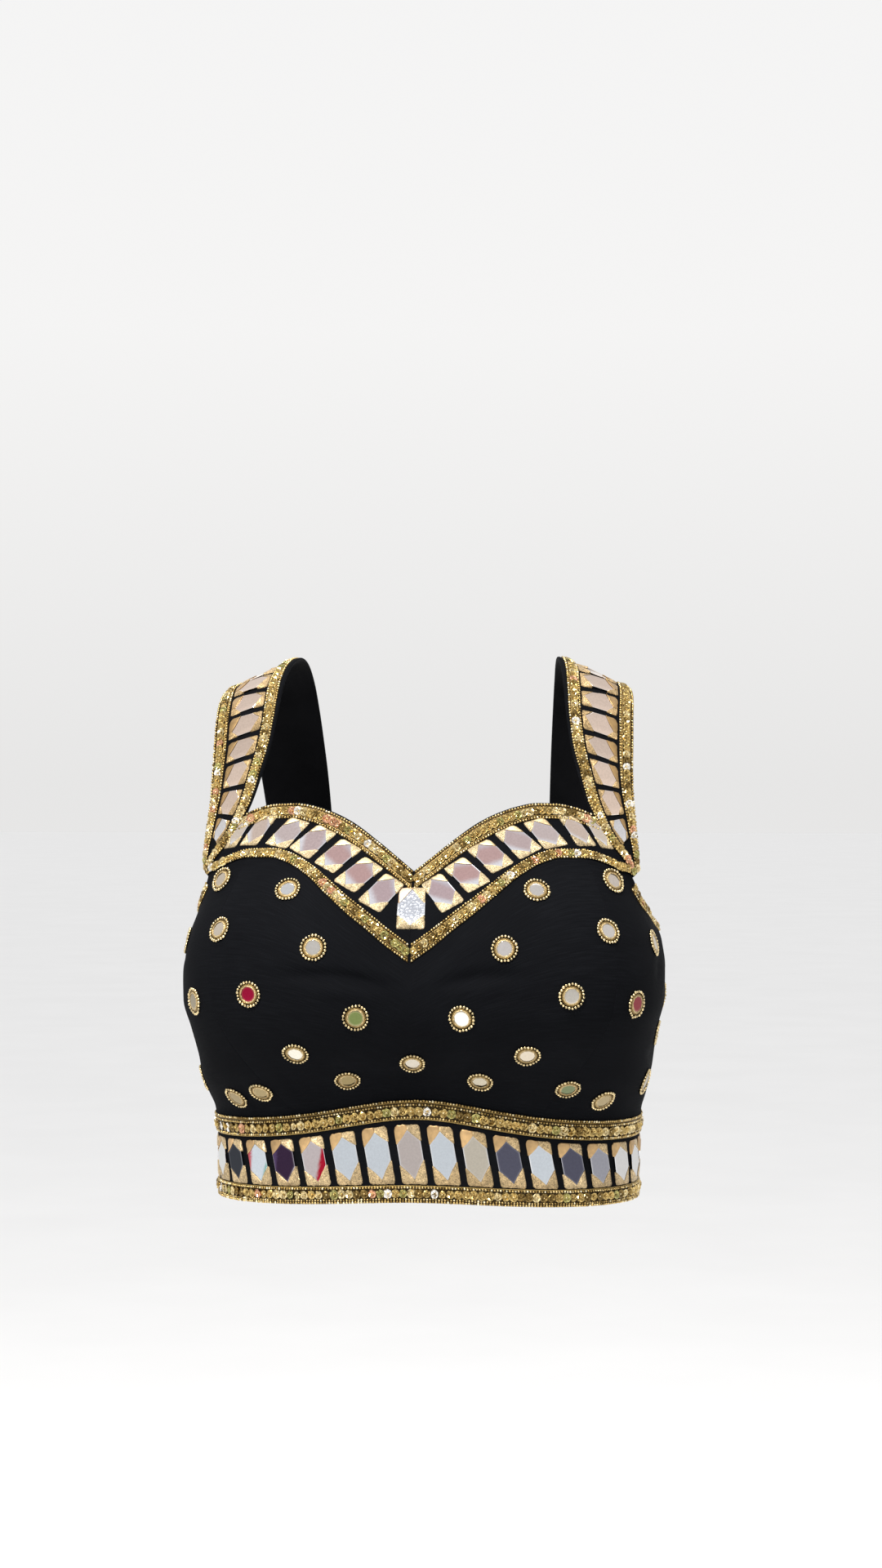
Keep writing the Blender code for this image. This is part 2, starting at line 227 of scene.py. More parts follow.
def on_torso(theta, z):
    theta, z = np.broadcast_arrays(np.asarray(theta, float), np.asarray(z, float))
    r = radius(theta, z)
    return np.stack([r * np.sin(theta), -r * np.cos(theta), z + 0 * r], axis=-1)


def on_shoulder(x, angle):
    """The point of the form at a width x, at an angle about the line y 0, z -100."""
    x, angle = np.broadcast_arrays(np.asarray(x, float), np.radians(angle))
    low, high = np.full(x.shape, 4.0), np.full(x.shape, 220.0)
    for _ in range(34):
        t = (low + high) / 2
        p = np.stack([x, -t * np.sin(angle), -100 + t * np.cos(angle)], axis=-1)
        inside = outside(p) < 0
        low, high = np.where(inside, t, low), np.where(inside, high, t)
    return p


def angle_of(x, z):
    """The angle from the centre front of the front point of the form at a width x."""
    x, z = np.broadcast_arrays(np.asarray(x, float), np.asarray(z, float))
    low, high = np.zeros(x.shape), np.full(x.shape, math.pi / 2)
    for _ in range(34):
        t = (low + high) / 2
        short = radius(t, z) * np.sin(t) < np.abs(x)
        low, high = np.where(short, t, low), np.where(short, high, t)
    return np.sign(x) * t


def waist_top(theta):
    return WAIST_TOP_SIDE + arch(wrap(theta))


def hem(theta):
    return HEM_SIDE_Z + HEM_RISE * np.exp(-(np.degrees(wrap(theta)) / 52) ** 2)


# ---------------------------------------------------------------- creases and puckers
# Soft folds, listed one by one: two ends (angle from the centre front, height), the width
# across and the depth; minus is a trough, plus a ridge. The wearer's right is minus.
CREASES = [
    # turn, z,     turn, z,      width, depth
    (-31,  -186.2, -6,   -192.0, 3.5,  -3.30),
    (-24,  -195.6, -7,   -200.8, 4.8,   1.70),
    (-22,  -205.5, -14,  -216.5, 3.2,  -0.40),
    (-17,  -203.0, -11,  -212.0, 2.6,   0.22),
    (-29,  -150.0, -22,  -159.0, 3.4,  -0.30),
    (-80,  -167.0, -63,  -186.0, 5.0,  -1.40),
    (-84,  -176.0, -69,  -197.0, 5.0,   0.50),
    (-94,  -263.0, -70,  -237.0, 4.6,  -1.50),
    (-90,  -247.0, -68,  -226.0, 6.5,  -0.60),
    (-86,  -268.0, -62,  -251.0, 4.0,   0.45),
    (-55,  -268.0, -51,  -247.0, 2.6,  -0.55),
    (-49,  -266.0, -46,  -252.0, 2.2,   0.30),
    (-38,  -263.0, -37,  -240.0, 2.9,  -0.60),
    (-32,  -261.0, -30,  -250.0, 2.2,   0.28),
    (-26,  -260.0, -25,  -246.0, 2.6,  -0.42),
    (-15,  -258.0, -14,  -238.0, 3.0,  -0.50),
    (-7,   -257.0, -8,   -247.0, 2.2,   0.26),
    (4,    -258.0, 3,    -241.0, 2.8,  -0.45),
    (16,   -258.5, 17,   -236.0, 3.0,  -0.58),
    (27,   -261.0, 26,   -249.0, 2.4,  -0.36),
    (35,   -262.0, 37,   -244.0, 2.8,  -0.55),
    (52,   -268.0, 50,   -250.0, 2.8,  -0.60),
    (9,    -190.5, 28,   -185.5, 3.5,  -2.70),
    (10,   -199.0, 22,   -194.8, 4.6,   1.40),
    (13,   -215.0, 23,   -207.0, 3.4,  -0.38),
    (24,   -160.0, 33,   -148.5, 3.2,  -0.30),
    (64,   -188.0, 82,   -170.0, 5.2,  -1.35),
    (70,   -199.0, 86,   -180.0, 5.0,   0.45),
    (69,   -234.0, 92,   -256.0, 4.8,  -1.40),
    (63,   -252.0, 84,   -270.0, 4.0,   0.40),
    (-4,   -222.0, 4,    -238.0, 6.0,  -0.45),
    (98,   -184.0, 122,  -206.0, 6.0,  -0.85),
    (102,  -197.0, 119,  -216.0, 5.5,   0.50),
    (-97,  -188.0, -124, -203.0, 6.4,  -0.90),
    (-103, -201.0, -118, -219.0, 5.0,   0.40),
    (97,   -262.0, 133,  -246.0, 5.0,  -0.90),
    (104,  -250.0, 140,  -233.0, 6.0,  -0.60),
    (-98,  -256.0, -129, -242.0, 5.4,  -0.85),
    (-110, -268.0, -150, -252.0, 4.6,  -0.70),
    (142,  -262.0, 173,  -254.0, 4.2,  -0.75),
    (150,  -246.0, 172,  -240.0, 5.2,  -0.55),
    (-147, -240.0, -173, -234.0, 5.0,  -0.60),
    (-158, -262.0, -175, -258.0, 3.6,  -0.45),
    (152,  -214.0, 170,  -198.0, 6.5,  -0.55),
    (-150, -210.0, -171, -193.0, 6.0,  -0.60),
    (126,  -270.0, 127,  -256.0, 2.6,  -0.45),
    (-136, -270.0, -135, -253.0, 2.8,  -0.50),
    (145,  -176.0, 158,  -186.0, 4.2,  -0.45),
    (-142, -174.0, -160, -183.0, 4.4,  -0.50),
]
ROUND = 2.15     # millimetres along the cloth for each degree of turn
_c = np.array(CREASES, float)
_ends = np.stack([_c[:, 0] * ROUND, _c[:, 1], _c[:, 2] * ROUND, _c[:, 3]], -1)


def relief(p):
    """How far the cloth stands in or out of its smooth form at points of the form."""
    flat = p.reshape(-1, 3)
    s = np.degrees(np.arctan2(flat[:, 0], -flat[:, 1])) * ROUND
    z = flat[:, 2]
    out = np.zeros(len(flat))
    torso = step((-128 - z) / 22)
    for (s0, z0, s1, z1), width, depth in zip(_ends, _c[:, 4], _c[:, 5]):
        ds, dz = s1 - s0, z1 - z0
        length = math.hypot(ds, dz)
        u = ((s - s0) * ds + (z - z0) * dz) / length
        v = (-(s - s0) * dz + (z - z0) * ds) / length
        v = v - 0.06 * length * np.sin(math.pi * np.clip(u / length, 0, 1))
        taper = step((u / length + 0.18) / 0.45) * step((1.18 - u / length) / 0.5)
        out += depth * taper * np.exp(-(v / width) ** 2)
    out *= torso
    out += 0.10 * np.sin(s / 9.1 + 0.05 * z) * np.sin(z / 11.3 + 1.7 + 0.03 * s)
    out += 0.07 * np.sin(s / 5.3 - z / 8.9 + 0.6) * np.sin(z / 15.7 + s / 21.0)
    return out.reshape(p.shape[:-1])


def lift(p, h):
    """Points a height h above the form, following the cloth's own relief."""
    return p + normal(p) * (np.asarray(h) + relief(p))[..., None]


# ---------------------------------------------------------------- the cut's own surfaces
BAND_TURN = np.array([117.4, 111.5, 104.0, 95.6, 85.4])   # where the band meets the strap
BAND_SHARES = (0.0, 0.235, 0.5, 0.765, 1.0)


def band_end(w):
    turn = np.interp(w, BAND_SHARES, BAND_TURN)
    return on_shoulder(strap_edges(turn)[..., 0], turn)[..., [0, 2]]


END_LOW, END_TOP = band_end(0.0), band_end(1.0)


def band_edge(x, table, end):
    """A point (x, z) of an edge of the band, drawn to the strap over its last 7 mm."""
    z = table(x)[..., 0]
    miss = end[1] - table(end[0])[0]
    return np.stack([x, z + miss * step((x - end[0] + 7) / 7)], -1)


def band(s, w):
    """The neck band on the wearer's left: s from the centre front to the strap, w from
    its lower edge to its upper one."""
    s, w = np.broadcast_arrays(np.asarray(s, float), np.asarray(w, float))
    low = band_edge(END_LOW[0] * s, band_lower, END_LOW)
    top = band_edge(END_TOP[0] * s, band_upper, END_TOP)
    a, b = np.array([0.0, BAND_LOWER[0][1]]), np.array([0.0, BAND_UPPER[0][1]])
    start = a + (b - a) * w[..., None]
    end = band_end(w)
    s_, w_ = s[..., None], w[..., None]
    p = (low * (1 - w_) + top * w_ + start * (1 - s_) + end * s_
         - (a * (1 - s_) * (1 - w_) + END_LOW * s_ * (1 - w_)
            + b * (1 - s_) * w_ + END_TOP * s_ * w_))
    return front_point(p[..., 0], p[..., 1])


def front_point(x, z):
    return on_torso(angle_of(x, z), z)


def under_band(x):
    """Angle and height of the band's lower edge at a width x."""
    z = band_edge(np.abs(x), band_lower, END_LOW)[..., 1]
    return angle_of(x, z), z


def mix(a, b, t):
    return a * (1 - t) + b * t


def front_centre(u, v):
    top_turn, top_z = under_band(SEAM_TOP_X * u)
    low_turn = np.radians(SEAM_BOTTOM) * u
    return on_torso(mix(low_turn, top_turn, v), mix(waist_top(low_turn), top_z, v))


_corner = [float(c) for c in under_band(END_LOW[0])]
armhole_front = smooth_table([
    (math.degrees(_corner[0]), _corner[1]),
    (67, -143.0), (73, -148.0), (81, -155.5), (90, UNDERARM_Z),
])
SPLIT = 0.4


def side_lines(u):
    x = mix(SEAM_TOP_X, END_LOW[0], np.clip(u / SPLIT, 0, 1))
    turn_a, z_a = under_band(x)
    turn_b = mix(math.degrees(_corner[0]), 90, np.clip((u - SPLIT) / (1 - SPLIT), 0, 1))
    z_b = armhole_front(turn_b)[..., 0]
    band_part = u <= SPLIT
    return (np.where(band_part, turn_a, np.radians(turn_b)),
            np.where(band_part, z_a, z_b),
            np.radians(np.interp(u, [0, SPLIT, 1], [SEAM_BOTTOM, 60, 90])))


def front_side(u, v):
    top_turn, top_z, low_turn = side_lines(u)
    return on_torso(mix(low_turn, top_turn, v), mix(waist_top(low_turn), top_z, v))


def strap_at(angle, share):
    """share runs from the neck edge to the armhole edge."""
    e = strap_edges(angle)
    return on_shoulder(mix(e[..., 0], e[..., 1], share), angle)


def strap_marks(angle):
    """The shares across the strap where its trims and its tiles begin and end."""
    e = strap_edges(angle)
    width = np.linalg.norm(strap_at(angle, 1.0) - strap_at(angle, 0.0), axis=-1)
    t = strap_trims(angle)
    bare = np.maximum(e[..., 2] * 0.8, 0.2)
    at_neck = np.minimum(t[..., 0], 0.46 * width)
    at_arm = np.minimum(t[..., 1], 0.46 * width)
    return bare / width, (bare + at_neck) / width, 1 - at_arm / width, width


_marks = [float(m) for m in strap_marks(-112.0)]
_shares = [1.0, _marks[2], (_marks[1] + _marks[2]) / 2, _marks[1], _marks[0], 0.0]
_tail = strap_at(-112.0, np.array(_shares))
_tail_turn = np.degrees(np.arctan2(_tail[:, 0], -_tail[:, 1]))
OUT_TURN, IN_TURN = _tail_turn[0], _tail_turn[-1]
back_arm = smooth_table([
    (90, UNDERARM_Z), (104, -158.5), (116, -152.5),
    (OUT_TURN - 3.5, _tail[0, 2] - 7.5), (OUT_TURN, _tail[0, 2]),
])
back_neck = smooth_table([
    (IN_TURN, _tail[-1, 2]), (IN_TURN + 4, _tail[-1, 2] - 9.5),
    (IN_TURN + 12, _tail[-1, 2] - 20.0), (IN_TURN + 24, BACK_NECK_Z + 1.2),
    (180, BACK_NECK_Z),
])
OPEN = 0.2       # half the gap of the centre-back opening, in degrees


def back_lines(u):
    k = u * 19
    arm_turn = mix(90, OUT_TURN, np.clip(k / 7, 0, 1))
    neck_turn = mix(IN_TURN, 180 - OPEN, np.clip((k - 12) / 7, 0, 1))
    steps = np.arange(7, 13)
    turn = np.where(k <= 7, arm_turn, np.where(
        k >= 12, neck_turn, np.interp(k, steps, _tail_turn)))
    z = np.where(k <= 7, back_arm(arm_turn)[..., 0], np.where(
        k >= 12, back_neck(neck_turn)[..., 0], np.interp(k, steps, _tail[:, 2])))
    return np.radians(turn), z, np.radians(90 + (90 - OPEN) * u)


def back(u, v):
    top_turn, top_z, low_turn = back_lines(u)
    return on_torso(mix(low_turn, top_turn, v), mix(waist_top(low_turn), top_z, v))


def waist(turn_degrees, v):
    t = np.radians(turn_degrees)
    return on_torso(t, mix(hem(t), waist_top(t), v))


# ================================================================ mesh building
class Build:
    """Collects vertices, faces, colours and grain coordinates for one piece."""

    def __init__(self):
        self.v, self.t, self.q, self.tm, self.qm = [], [], [], [], []
        self.ts, self.qs = [], []
        self.tint, self.uv, self.n = [], [], 0

    def add(self, verts, tris=(), quads=(), mat=0, smooth=True, tint=(1, 1, 1), uv=None):
        verts = np.asarray(verts, float).reshape(-1, 3)
        k = len(verts)
        tint = np.broadcast_to(np.asarray(tint, float), (k, 3))
        uv = np.zeros((k, 2)) if uv is None else np.asarray(uv, float).reshape(-1, 2)
        for faces, store, mats, smooths, m in (
                (tris, self.t, self.tm, self.ts, 3), (quads, self.q, self.qm, self.qs, 4)):
            faces = np.asarray(faces, int).reshape(-1, m)
            if len(faces):
                store.append(faces + self.n)
                mats.append(np.broadcast_to(np.asarray(mat), (len(faces),)))
                smooths.append(np.full(len(faces), smooth))
        self.v.append(verts)
        self.tint.append(tint)
        self.uv.append(uv)
        self.n += k

    def many(self, template, centre, axes, scale, tint, mat=0, smooth=True):
        """Copies of a template (vertices, triangles) at centres, along axes (n, 3, 3)."""
        base, tris = template
        n, k = len(centre), len(base)
        if n == 0:
            return
        scale = np.broadcast_to(np.asarray(scale, float), (n, 3))
        local = base[None] * scale[:, None]
        verts = centre[:, None] + np.einsum("nkc,ncd->nkd", local, axes)
        faces = tris[None] + (np.arange(n) * k)[:, None, None]
        self.add(verts, tris=faces.reshape(-1, 3), mat=mat, smooth=smooth,
                 tint=np.repeat(np.broadcast_to(tint, (n, 3)), k, axis=0))

    def finish(self, name, materials, replaces=(), slot=None):
        v = np.concatenate(self.v)
        t = np.concatenate(self.t) if self.t else np.zeros((0, 3), int)
        q = np.concatenate(self.q) if self.q else np.zeros((0, 4), int)
        me = bpy.data.meshes.new(name)
        me.vertices.add(len(v))
        me.vertices.foreach_set("co", (v * MM).astype(np.float32).ravel())
        loops = np.concatenate([t.ravel(), q.ravel()]).astype(np.int32)
        me.loops.add(len(loops))
        me.loops.foreach_set("vertex_index", loops)
        starts = np.concatenate(
            [np.arange(len(t)) * 3, len(t) * 3 + np.arange(len(q)) * 4]).astype(np.int32)
        me.polygons.add(len(starts))
        me.polygons.foreach_set("loop_start", starts)
        me.polygons.foreach_set(
            "material_index", np.concatenate(self.tm + self.qm).astype(np.int32))
        me.polygons.foreach_set("use_smooth", np.concatenate(self.ts + self.qs))
        uv = np.concatenate(self.uv)
        layer = me.uv_layers.new(name="grain")
        layer.data.foreach_set("uv", uv[loops].astype(np.float32).ravel())
        tint = me.color_attributes.new(name="tint", type="FLOAT_COLOR", domain="POINT")
        rgba = np.concatenate([np.concatenate(self.tint), np.ones((len(v), 1))], axis=1)
        tint.data.foreach_set("color", rgba.astype(np.float32).ravel())
        me.update(calc_edges=True)
        me.validate()
        for m in materials:
            me.materials.append(m)
        obj = bpy.data.objects.new(name, me)
        bpy.context.scene.collection.objects.link(obj)
        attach(obj, "root")
        if replaces:
            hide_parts(*replaces)
        return obj


# ================================================================ materials
class Nodes:
    def __init__(self, name, roughness, metallic=0.0, **fixed):
        self.m = bpy.data.materials.new(name)
        self.m.use_nodes = True
        self.tree = self.m.node_tree
        self.shader = self.tree.nodes["Principled BSDF"]
        self.shader.inputs["Roughness"].default_value = roughness
        self.shader.inputs["Metallic"].default_value = metallic
        for key, value in fixed.items():
            self.shader.inputs[key.replace("_", " ")].default_value = value

    def node(self, kind, **values):
        n = self.tree.nodes.new(kind)
        for key, value in values.items():
            if key.startswith("in_"):
                n.inputs[key[3:].replace("_", " ")].default_value = value
            else:
                setattr(n, key, value)
        return n

    def link(self, a, b):
        self.tree.links.new(a, b)

    def coordinates(self, scale, uv=True, turn=0.0):
        if uv:
            source = self.node("ShaderNodeUVMap", uv_map="grain").outputs["UV"]
        else:
            source = self.node("ShaderNodeTexCoord").outputs["Object"]
        m = self.node("ShaderNodeMapping")
        m.inputs["Scale"].default_value = scale
        m.inputs["Rotation"].default_value = (0, 0, turn)
        self.link(source, m.inputs["Vector"])
        return m.outputs["Vector"]

    def noise(self, where, scale=1.0, detail=2.0, roughness=0.5, distortion=0.0):
        n = self.node("ShaderNodeTexNoise", in_Scale=scale, in_Detail=detail,
                      in_Roughness=roughness, in_Distortion=distortion)
        self.link(where, n.inputs["Vector"])
        return n.outputs["Fac"]

    def spread(self, value, low, high, start=0.3, end=0.7):
        r = self.node("ShaderNodeMapRange")
        r.inputs["From Min"].default_value = start
        r.inputs["From Max"].default_value = end
        r.inputs["To Min"].default_value = low
        r.inputs["To Max"].default_value = high
        self.link(value, r.inputs["Value"])
        return r.outputs["Result"]

    def maths(self, operation, a, b):
        n = self.node("ShaderNodeMath", operation=operation)
        for i, x in enumerate((a, b)):
            if isinstance(x, (int, float)):
                n.inputs[i].default_value = x
            else:
                self.link(x, n.inputs[i])
        return n.outputs[0]

    def ramp(self, value, stops):
        n = self.node("ShaderNodeValToRGB")
        ramp = n.color_ramp
        while len(ramp.elements) < len(stops):
            ramp.elements.new(0.5)
        for element, (at, colour) in zip(ramp.elements, stops):
            element.position = at
            element.color = (*colour, 1)
        self.link(value, n.inputs["Fac"])
        return n.outputs["Color"]

    def tint(self, strength):
        """The piece's own tint, made lighter and darker by a factor."""
        a = self.node("ShaderNodeAttribute", attribute_name="tint")
        n = self.node("ShaderNodeMix", data_type="RGBA", blend_type="MULTIPLY")
        n.inputs["Factor"].default_value = 1.0
        self.link(a.outputs["Color"], n.inputs["A"])
        self.link(strength, n.inputs["B"])
        return n.outputs["Result"]

    def bump(self, height, distance, strength=1.0):
        n = self.node("ShaderNodeBump", in_Strength=strength, in_Distance=distance)
        self.link(height, n.inputs["Height"])
        self.link(n.outputs["Normal"], self.shader.inputs["Normal"])

    def put(self, value, socket):
        self.link(value, self.shader.inputs[socket])


def silk():
    """Black raw silk: level yarns with slubs, finer upright ones, a faint blue cast."""
    n = Nodes("black_raw_silk", 0.6, Specular_IOR_Level=0.02, Sheen_Weight=0.002,
              Sheen_Roughness=0.4)
    n.shader.inputs["Sheen Tint"].default_value = (0.55, 0.62, 0.8, 1)
    slub = n.noise(n.coordinates((7.0, 130, 1)), detail=3.0, roughness=0.55)
    weft = n.noise(n.coordinates((26, 330, 1)), detail=1.0)
    warp = n.noise(n.coordinates((300, 30, 1)), detail=1.0)
    wide = n.noise(n.coordinates((2.0, 3.0, 1)), detail=2.0)
    yarn = n.maths("ADD", n.maths("MULTIPLY", slub, 0.9), n.maths("ADD", n.maths(
        "MULTIPLY", weft, 0.45), n.maths("MULTIPLY", warp, 0.22)))
    n.put(n.ramp(n.spread(n.maths("ADD", slub, n.maths("MULTIPLY", wide, 0.5)), 0, 1,
                          0.5, 1.0),
                 [(0.0, (0.0029, 0.0031, 0.0039)), (0.55, (0.0040, 0.0043, 0.0053)),
                  (1.0, (0.0056, 0.0060, 0.0073))]), "Base Color")
    n.put(n.spread(slub, 0.70, 0.86), "Roughness")
    n.bump(yarn, 0.00012, 0.5)
    return n.m


def lining():
    """Plain black lining, finer and smoother than the cloth."""
    n = Nodes("black_lining", 0.62, Specular_IOR_Level=0.04)
    weft = n.noise(n.coordinates((60, 420, 1)), detail=2.0)
    wide = n.noise(n.coordinates((4, 5, 1)), detail=2.0)
    n.put(n.ramp(wide, [(0.3, (0.0030, 0.0031, 0.0037)), (0.7, (0.0052, 0.0053, 0.0063))]),
          "Base Color")
    n.put(n.spread(weft, 0.60, 0.74), "Roughness")
    n.bump(weft, 0.00008, 0.5)
    return n.m


def gold_bead():
    n = Nodes("gold_beads", 0.27, 1.0)
    grain = n.noise(n.coordinates((420, 420, 420), uv=False), detail=2.0)
    n.put(n.tint(n.spread(grain, 0.72, 1.12)), "Base Color")
    n.put(n.spread(grain, 0.20, 0.36), "Roughness")
    return n.m


def gold_cord():
    n = Nodes("gold_thread", 0.42, 0.85)
    twist = n.node("ShaderNodeTexWave", wave_type="BANDS", bands_direction="DIAGONAL",
                   in_Scale=30.0, in_Distortion=1.5)
    n.link(n.coordinates((1, 1, 1)), twist.inputs["Vector"])
    n.put(n.tint(n.spread(twist.outputs["Fac"], 0.45, 1.1, 0.1, 0.9)), "Base Color")
    n.put(n.spread(twist.outputs["Fac"], 0.50, 0.34, 0.1, 0.9), "Roughness")
    n.bump(twist.outputs["Fac"], 0.00012, 0.6)
    return n.m


def gold_sequin():
    n = Nodes("faceted_sequins", 0.16, 1.0)
    grain = n.noise(n.coordinates((650, 650, 650), uv=False), detail=2.0)
    n.put(n.tint(n.spread(grain, 0.70, 1.15)), "Base Color")
    n.put(n.spread(grain, 0.11, 0.24), "Roughness")
    return n.m


def gold_patch():
    """Glittering metallic thread laid in lines alongside the mirror's edges."""
    n = Nodes("gold_embroidery", 0.40, 0.60, Specular_IOR_Level=0.5)
    rows = n.node("ShaderNodeTexWave", wave_type="BANDS", bands_direction="Y",
                  in_Scale=0.80, in_Distortion=2.2, in_Detail=1.0)
    n.link(n.coordinates((1, 1, 1)), rows.inputs["Vector"])
    cells = n.node("ShaderNodeTexVoronoi", in_Scale=2300.0)
    n.link(n.coordinates((1, 1, 1), uv=False), cells.inputs["Vector"])
    pick = n.node("ShaderNodeSeparateColor")
    n.link(cells.outputs["Color"], pick.inputs[0])
    wide = n.noise(n.coordinates((420, 420, 420), uv=False), detail=2.0)
    glint = n.spread(pick.outputs[0], 0.45, 1.30, 0.0, 1.0)
    shade = n.maths("MULTIPLY", n.spread(rows.outputs["Fac"], 0.86, 1.04, 0.1, 0.9),
                    n.maths("MULTIPLY", glint, n.spread(wide, 0.80, 1.16)))
    n.put(n.tint(shade), "Base Color")
    n.put(n.spread(pick.outputs[1], 0.22, 0.55, 0.0, 1.0), "Roughness")
    n.bump(n.maths("ADD", rows.outputs["Fac"], n.maths(
        "MULTIPLY", pick.outputs[2], 0.9)), 0.00012, 0.8)
    return n.m


def gold_foil():
    """The plain folded corner: smooth foil cloth with a fine drawn grain."""
    n = Nodes("gold_foil_cloth", 0.36, 0.72, Specular_IOR_Level=0.5)
    drawn = n.noise(n.coordinates((0.5, 9.0, 1)), detail=2.0)
    wide = n.noise(n.coordinates((300, 300, 300), uv=False), detail=1.0)
    n.put(n.tint(n.maths("MULTIPLY", n.spread(drawn, 0.82, 1.12),
                         n.spread(wide, 0.85, 1.12))), "Base Color")
    n.put(n.spread(drawn, 0.30, 0.46), "Roughness")
    n.bump(drawn, 0.00010, 0.5)
    return n.m


def mirror_glass():
    n = Nodes("mirror_glass", 0.05, 1.0)
    wave = n.noise(n.coordinates((60, 60, 60), uv=False), detail=1.0)
    specks = n.noise(n.coordinates((900, 900, 900), uv=False), detail=2.0)
    n.put(n.tint(n.spread(specks, 0.93, 1.03)), "Base Color")
    n.put(n.spread(specks, 0.035, 0.09, 0.45, 0.75), "Roughness")
    n.bump(wave, 0.0004, 0.12)
    return n.m


def dark_wire():
    n = Nodes("blackened_wire", 0.38, 1.0)
    grain = n.noise(n.coordinates((500, 500, 500), uv=False), detail=3.0)
    n.put(n.ramp(grain, [(0.3, (0.030, 0.030, 0.034)), (0.7, (0.085, 0.083, 0.080))]),
          "Base Color")
    n.put(n.spread(grain, 0.28, 0.5), "Roughness")
    return n.m


SILK, LINING = silk(), lining()
BEAD, CORD, SEQUIN = gold_bead(), gold_cord(), gold_sequin()
PATCH, FOIL, MIRROR, WIRE = gold_patch(), gold_foil(), mirror_glass(), dark_wire()
TRIM_MATERIALS = [BEAD, CORD, SEQUIN]

# ================================================================ cloth panels
EDGE = np.array([0.0, 0.10, 0.28, 0.55, 0.90, 1.30])     # rows beside every edge


def spaced(length, pitch):
    """Shares along a length, closer together beside both ends, and the distances."""
    count = max(3, int(round((length - 2.6) / pitch)) + 1)
    d = np.concatenate([EDGE[:-1], np.linspace(1.3, length - 1.3, count),
                        length - EDGE[::-1][1:]])
    return d / length, d, length - d


def edge_drop(d, kind):
    """How far the outer face, and the inner one, turn in at a distance from an edge."""
    if kind == "free":
        r = 1.0
        fall = r - np.sqrt(np.maximum(r * r - np.clip(r - d, 0, 0.99 * r) ** 2, 0))
        return fall, fall
    fall = 0.14 * np.clip(1 - d / 0.8, 0, 1) ** 2
    return fall, 0 * fall


def panel(name, surface, size, kinds, pitch=2.5, mirror=False, low=0.0, high=WALL,
          u_range=(0, 1), flat=None, node=None):
    """A cloth wall over surface(u, v); size is its run along u and v, and kinds says
    which of its edges (first u, last u, first v, last v) are seams and which are free."""
    us, du0, du1 = spaced(size[0], pitch)
    vs, dv0, dv1 = spaced(size[1], pitch)
    u_real = u_range[0] + (u_range[1] - u_range[0]) * us
    grid = surface(*np.meshgrid(u_real, vs, indexing="ij"))
    out_drop = np.zeros(grid.shape[:2])
    in_rise = np.zeros(grid.shape[:2])
    for d, kind in zip((du0[:, None], du1[:, None], dv0[None], dv1[None]), kinds):
        fall, rise = edge_drop(d, kind)
        out_drop, in_rise = np.maximum(out_drop, fall), np.maximum(in_rise, rise)
    if mirror:
        grid = grid * np.array([-1.0, 1.0, 1.0])
    n, lie = normal(grid), relief(grid)
    outer = grid + n * (high - out_drop + lie)[..., None]
    inner = grid + n * (low + in_rise + lie)[..., None]
    nu, nv = grid.shape[:2]
    ids = np.arange(nu * nv).reshape(nu, nv)
    a, b, c, d = ids[:-1, :-1], ids[1:, :-1], ids[1:, 1:], ids[:-1, 1:]
    face = np.stack([a, b, c, d], -1).reshape(-1, 4)
    shift = nu * nv
    ring = np.concatenate([ids[:, 0], ids[-1, 1:], ids[-2::-1, -1], ids[0, -2:0:-1]])
    nxt = np.roll(ring, -1)
    wall = np.stack([ring, nxt, nxt + shift, ring + shift], -1)
    cross = np.cross(outer[1:, :-1] - outer[:-1, :-1], outer[:-1, 1:] - outer[:-1, :-1])
    out_way = (cross * n[:-1, :-1]).sum() > 0
    if out_way:
        quads = np.concatenate([face, face[:, ::-1] + shift, wall[:, ::-1]])
    else:
        quads = np.concatenate([face[:, ::-1], face + shift, wall])
    mats = np.concatenate([np.zeros(len(face)), np.ones(len(face)), np.zeros(len(wall))])
    seg_u = np.linalg.norm(np.diff(grid, axis=0), axis=-1).mean(axis=1)
    seg_v = np.linalg.norm(np.diff(grid, axis=1), axis=-1).mean(axis=0)
    cu, cv = np.append(0, np.cumsum(seg_u)), np.append(0, np.cumsum(seg_v))
    uv = np.stack(np.meshgrid(cu, cv, indexing="ij"), -1).reshape(-1, 2) * 0.01
    uv = uv + 0.37 * (sum(map(ord, name)) % 17)
    mesh = Build()
    mesh.add(np.concatenate([outer.reshape(-1, 3), inner.reshape(-1, 3)]), quads=quads,
             mat=mats, uv=np.concatenate([uv, uv]))
    obj = mesh.finish("cloth_" + name, [SILK, LINING], [node or name], "black_cloth")
    PANELS[name] = (obj, outer)
    return obj


PANELS = {}

panel("front_centre", front_centre, (205, 112), ("seam", "seam", "seam", "seam"),
      u_range=(-1, 1), pitch=2.2)
for tag, mirror in (("L", False), ("R", True)):
    panel("front_side_" + tag, front_side, (92, 125), ("seam", "seam", "seam", "free"),
          mirror=mirror, pitch=2.3)
    panel("neck_band_" + tag, band, (165, 46), ("seam", "seam", "seam", "free"),
          mirror=mirror, pitch=2.3)
    panel("strap_" + tag, strap_at, (262, 38), ("free", "seam", "free", "free"),
          mirror=mirror, u_range=(118, -112), pitch=2.6)
    panel("back_" + tag, back, (170, 118), ("seam", "free", "seam", "free"),
          mirror=mirror, pitch=2.9)
    panel("waist_back_" + tag, waist, (174, 50), ("seam", "free", "free", "seam"),
          mirror=mirror, u_range=(90, 180 - OPEN), pitch=2.9)
panel("waist_front", waist, (350, 54), ("seam", "seam", "free", "seam"),
      u_range=(-90, 90), pitch=2.6)


def placket_at(u, v):
    return on_torso(math.pi + u * 12.0 / 94.0, mix(HEM_SIDE_Z + 1, BACK_NECK_Z - 2, v))


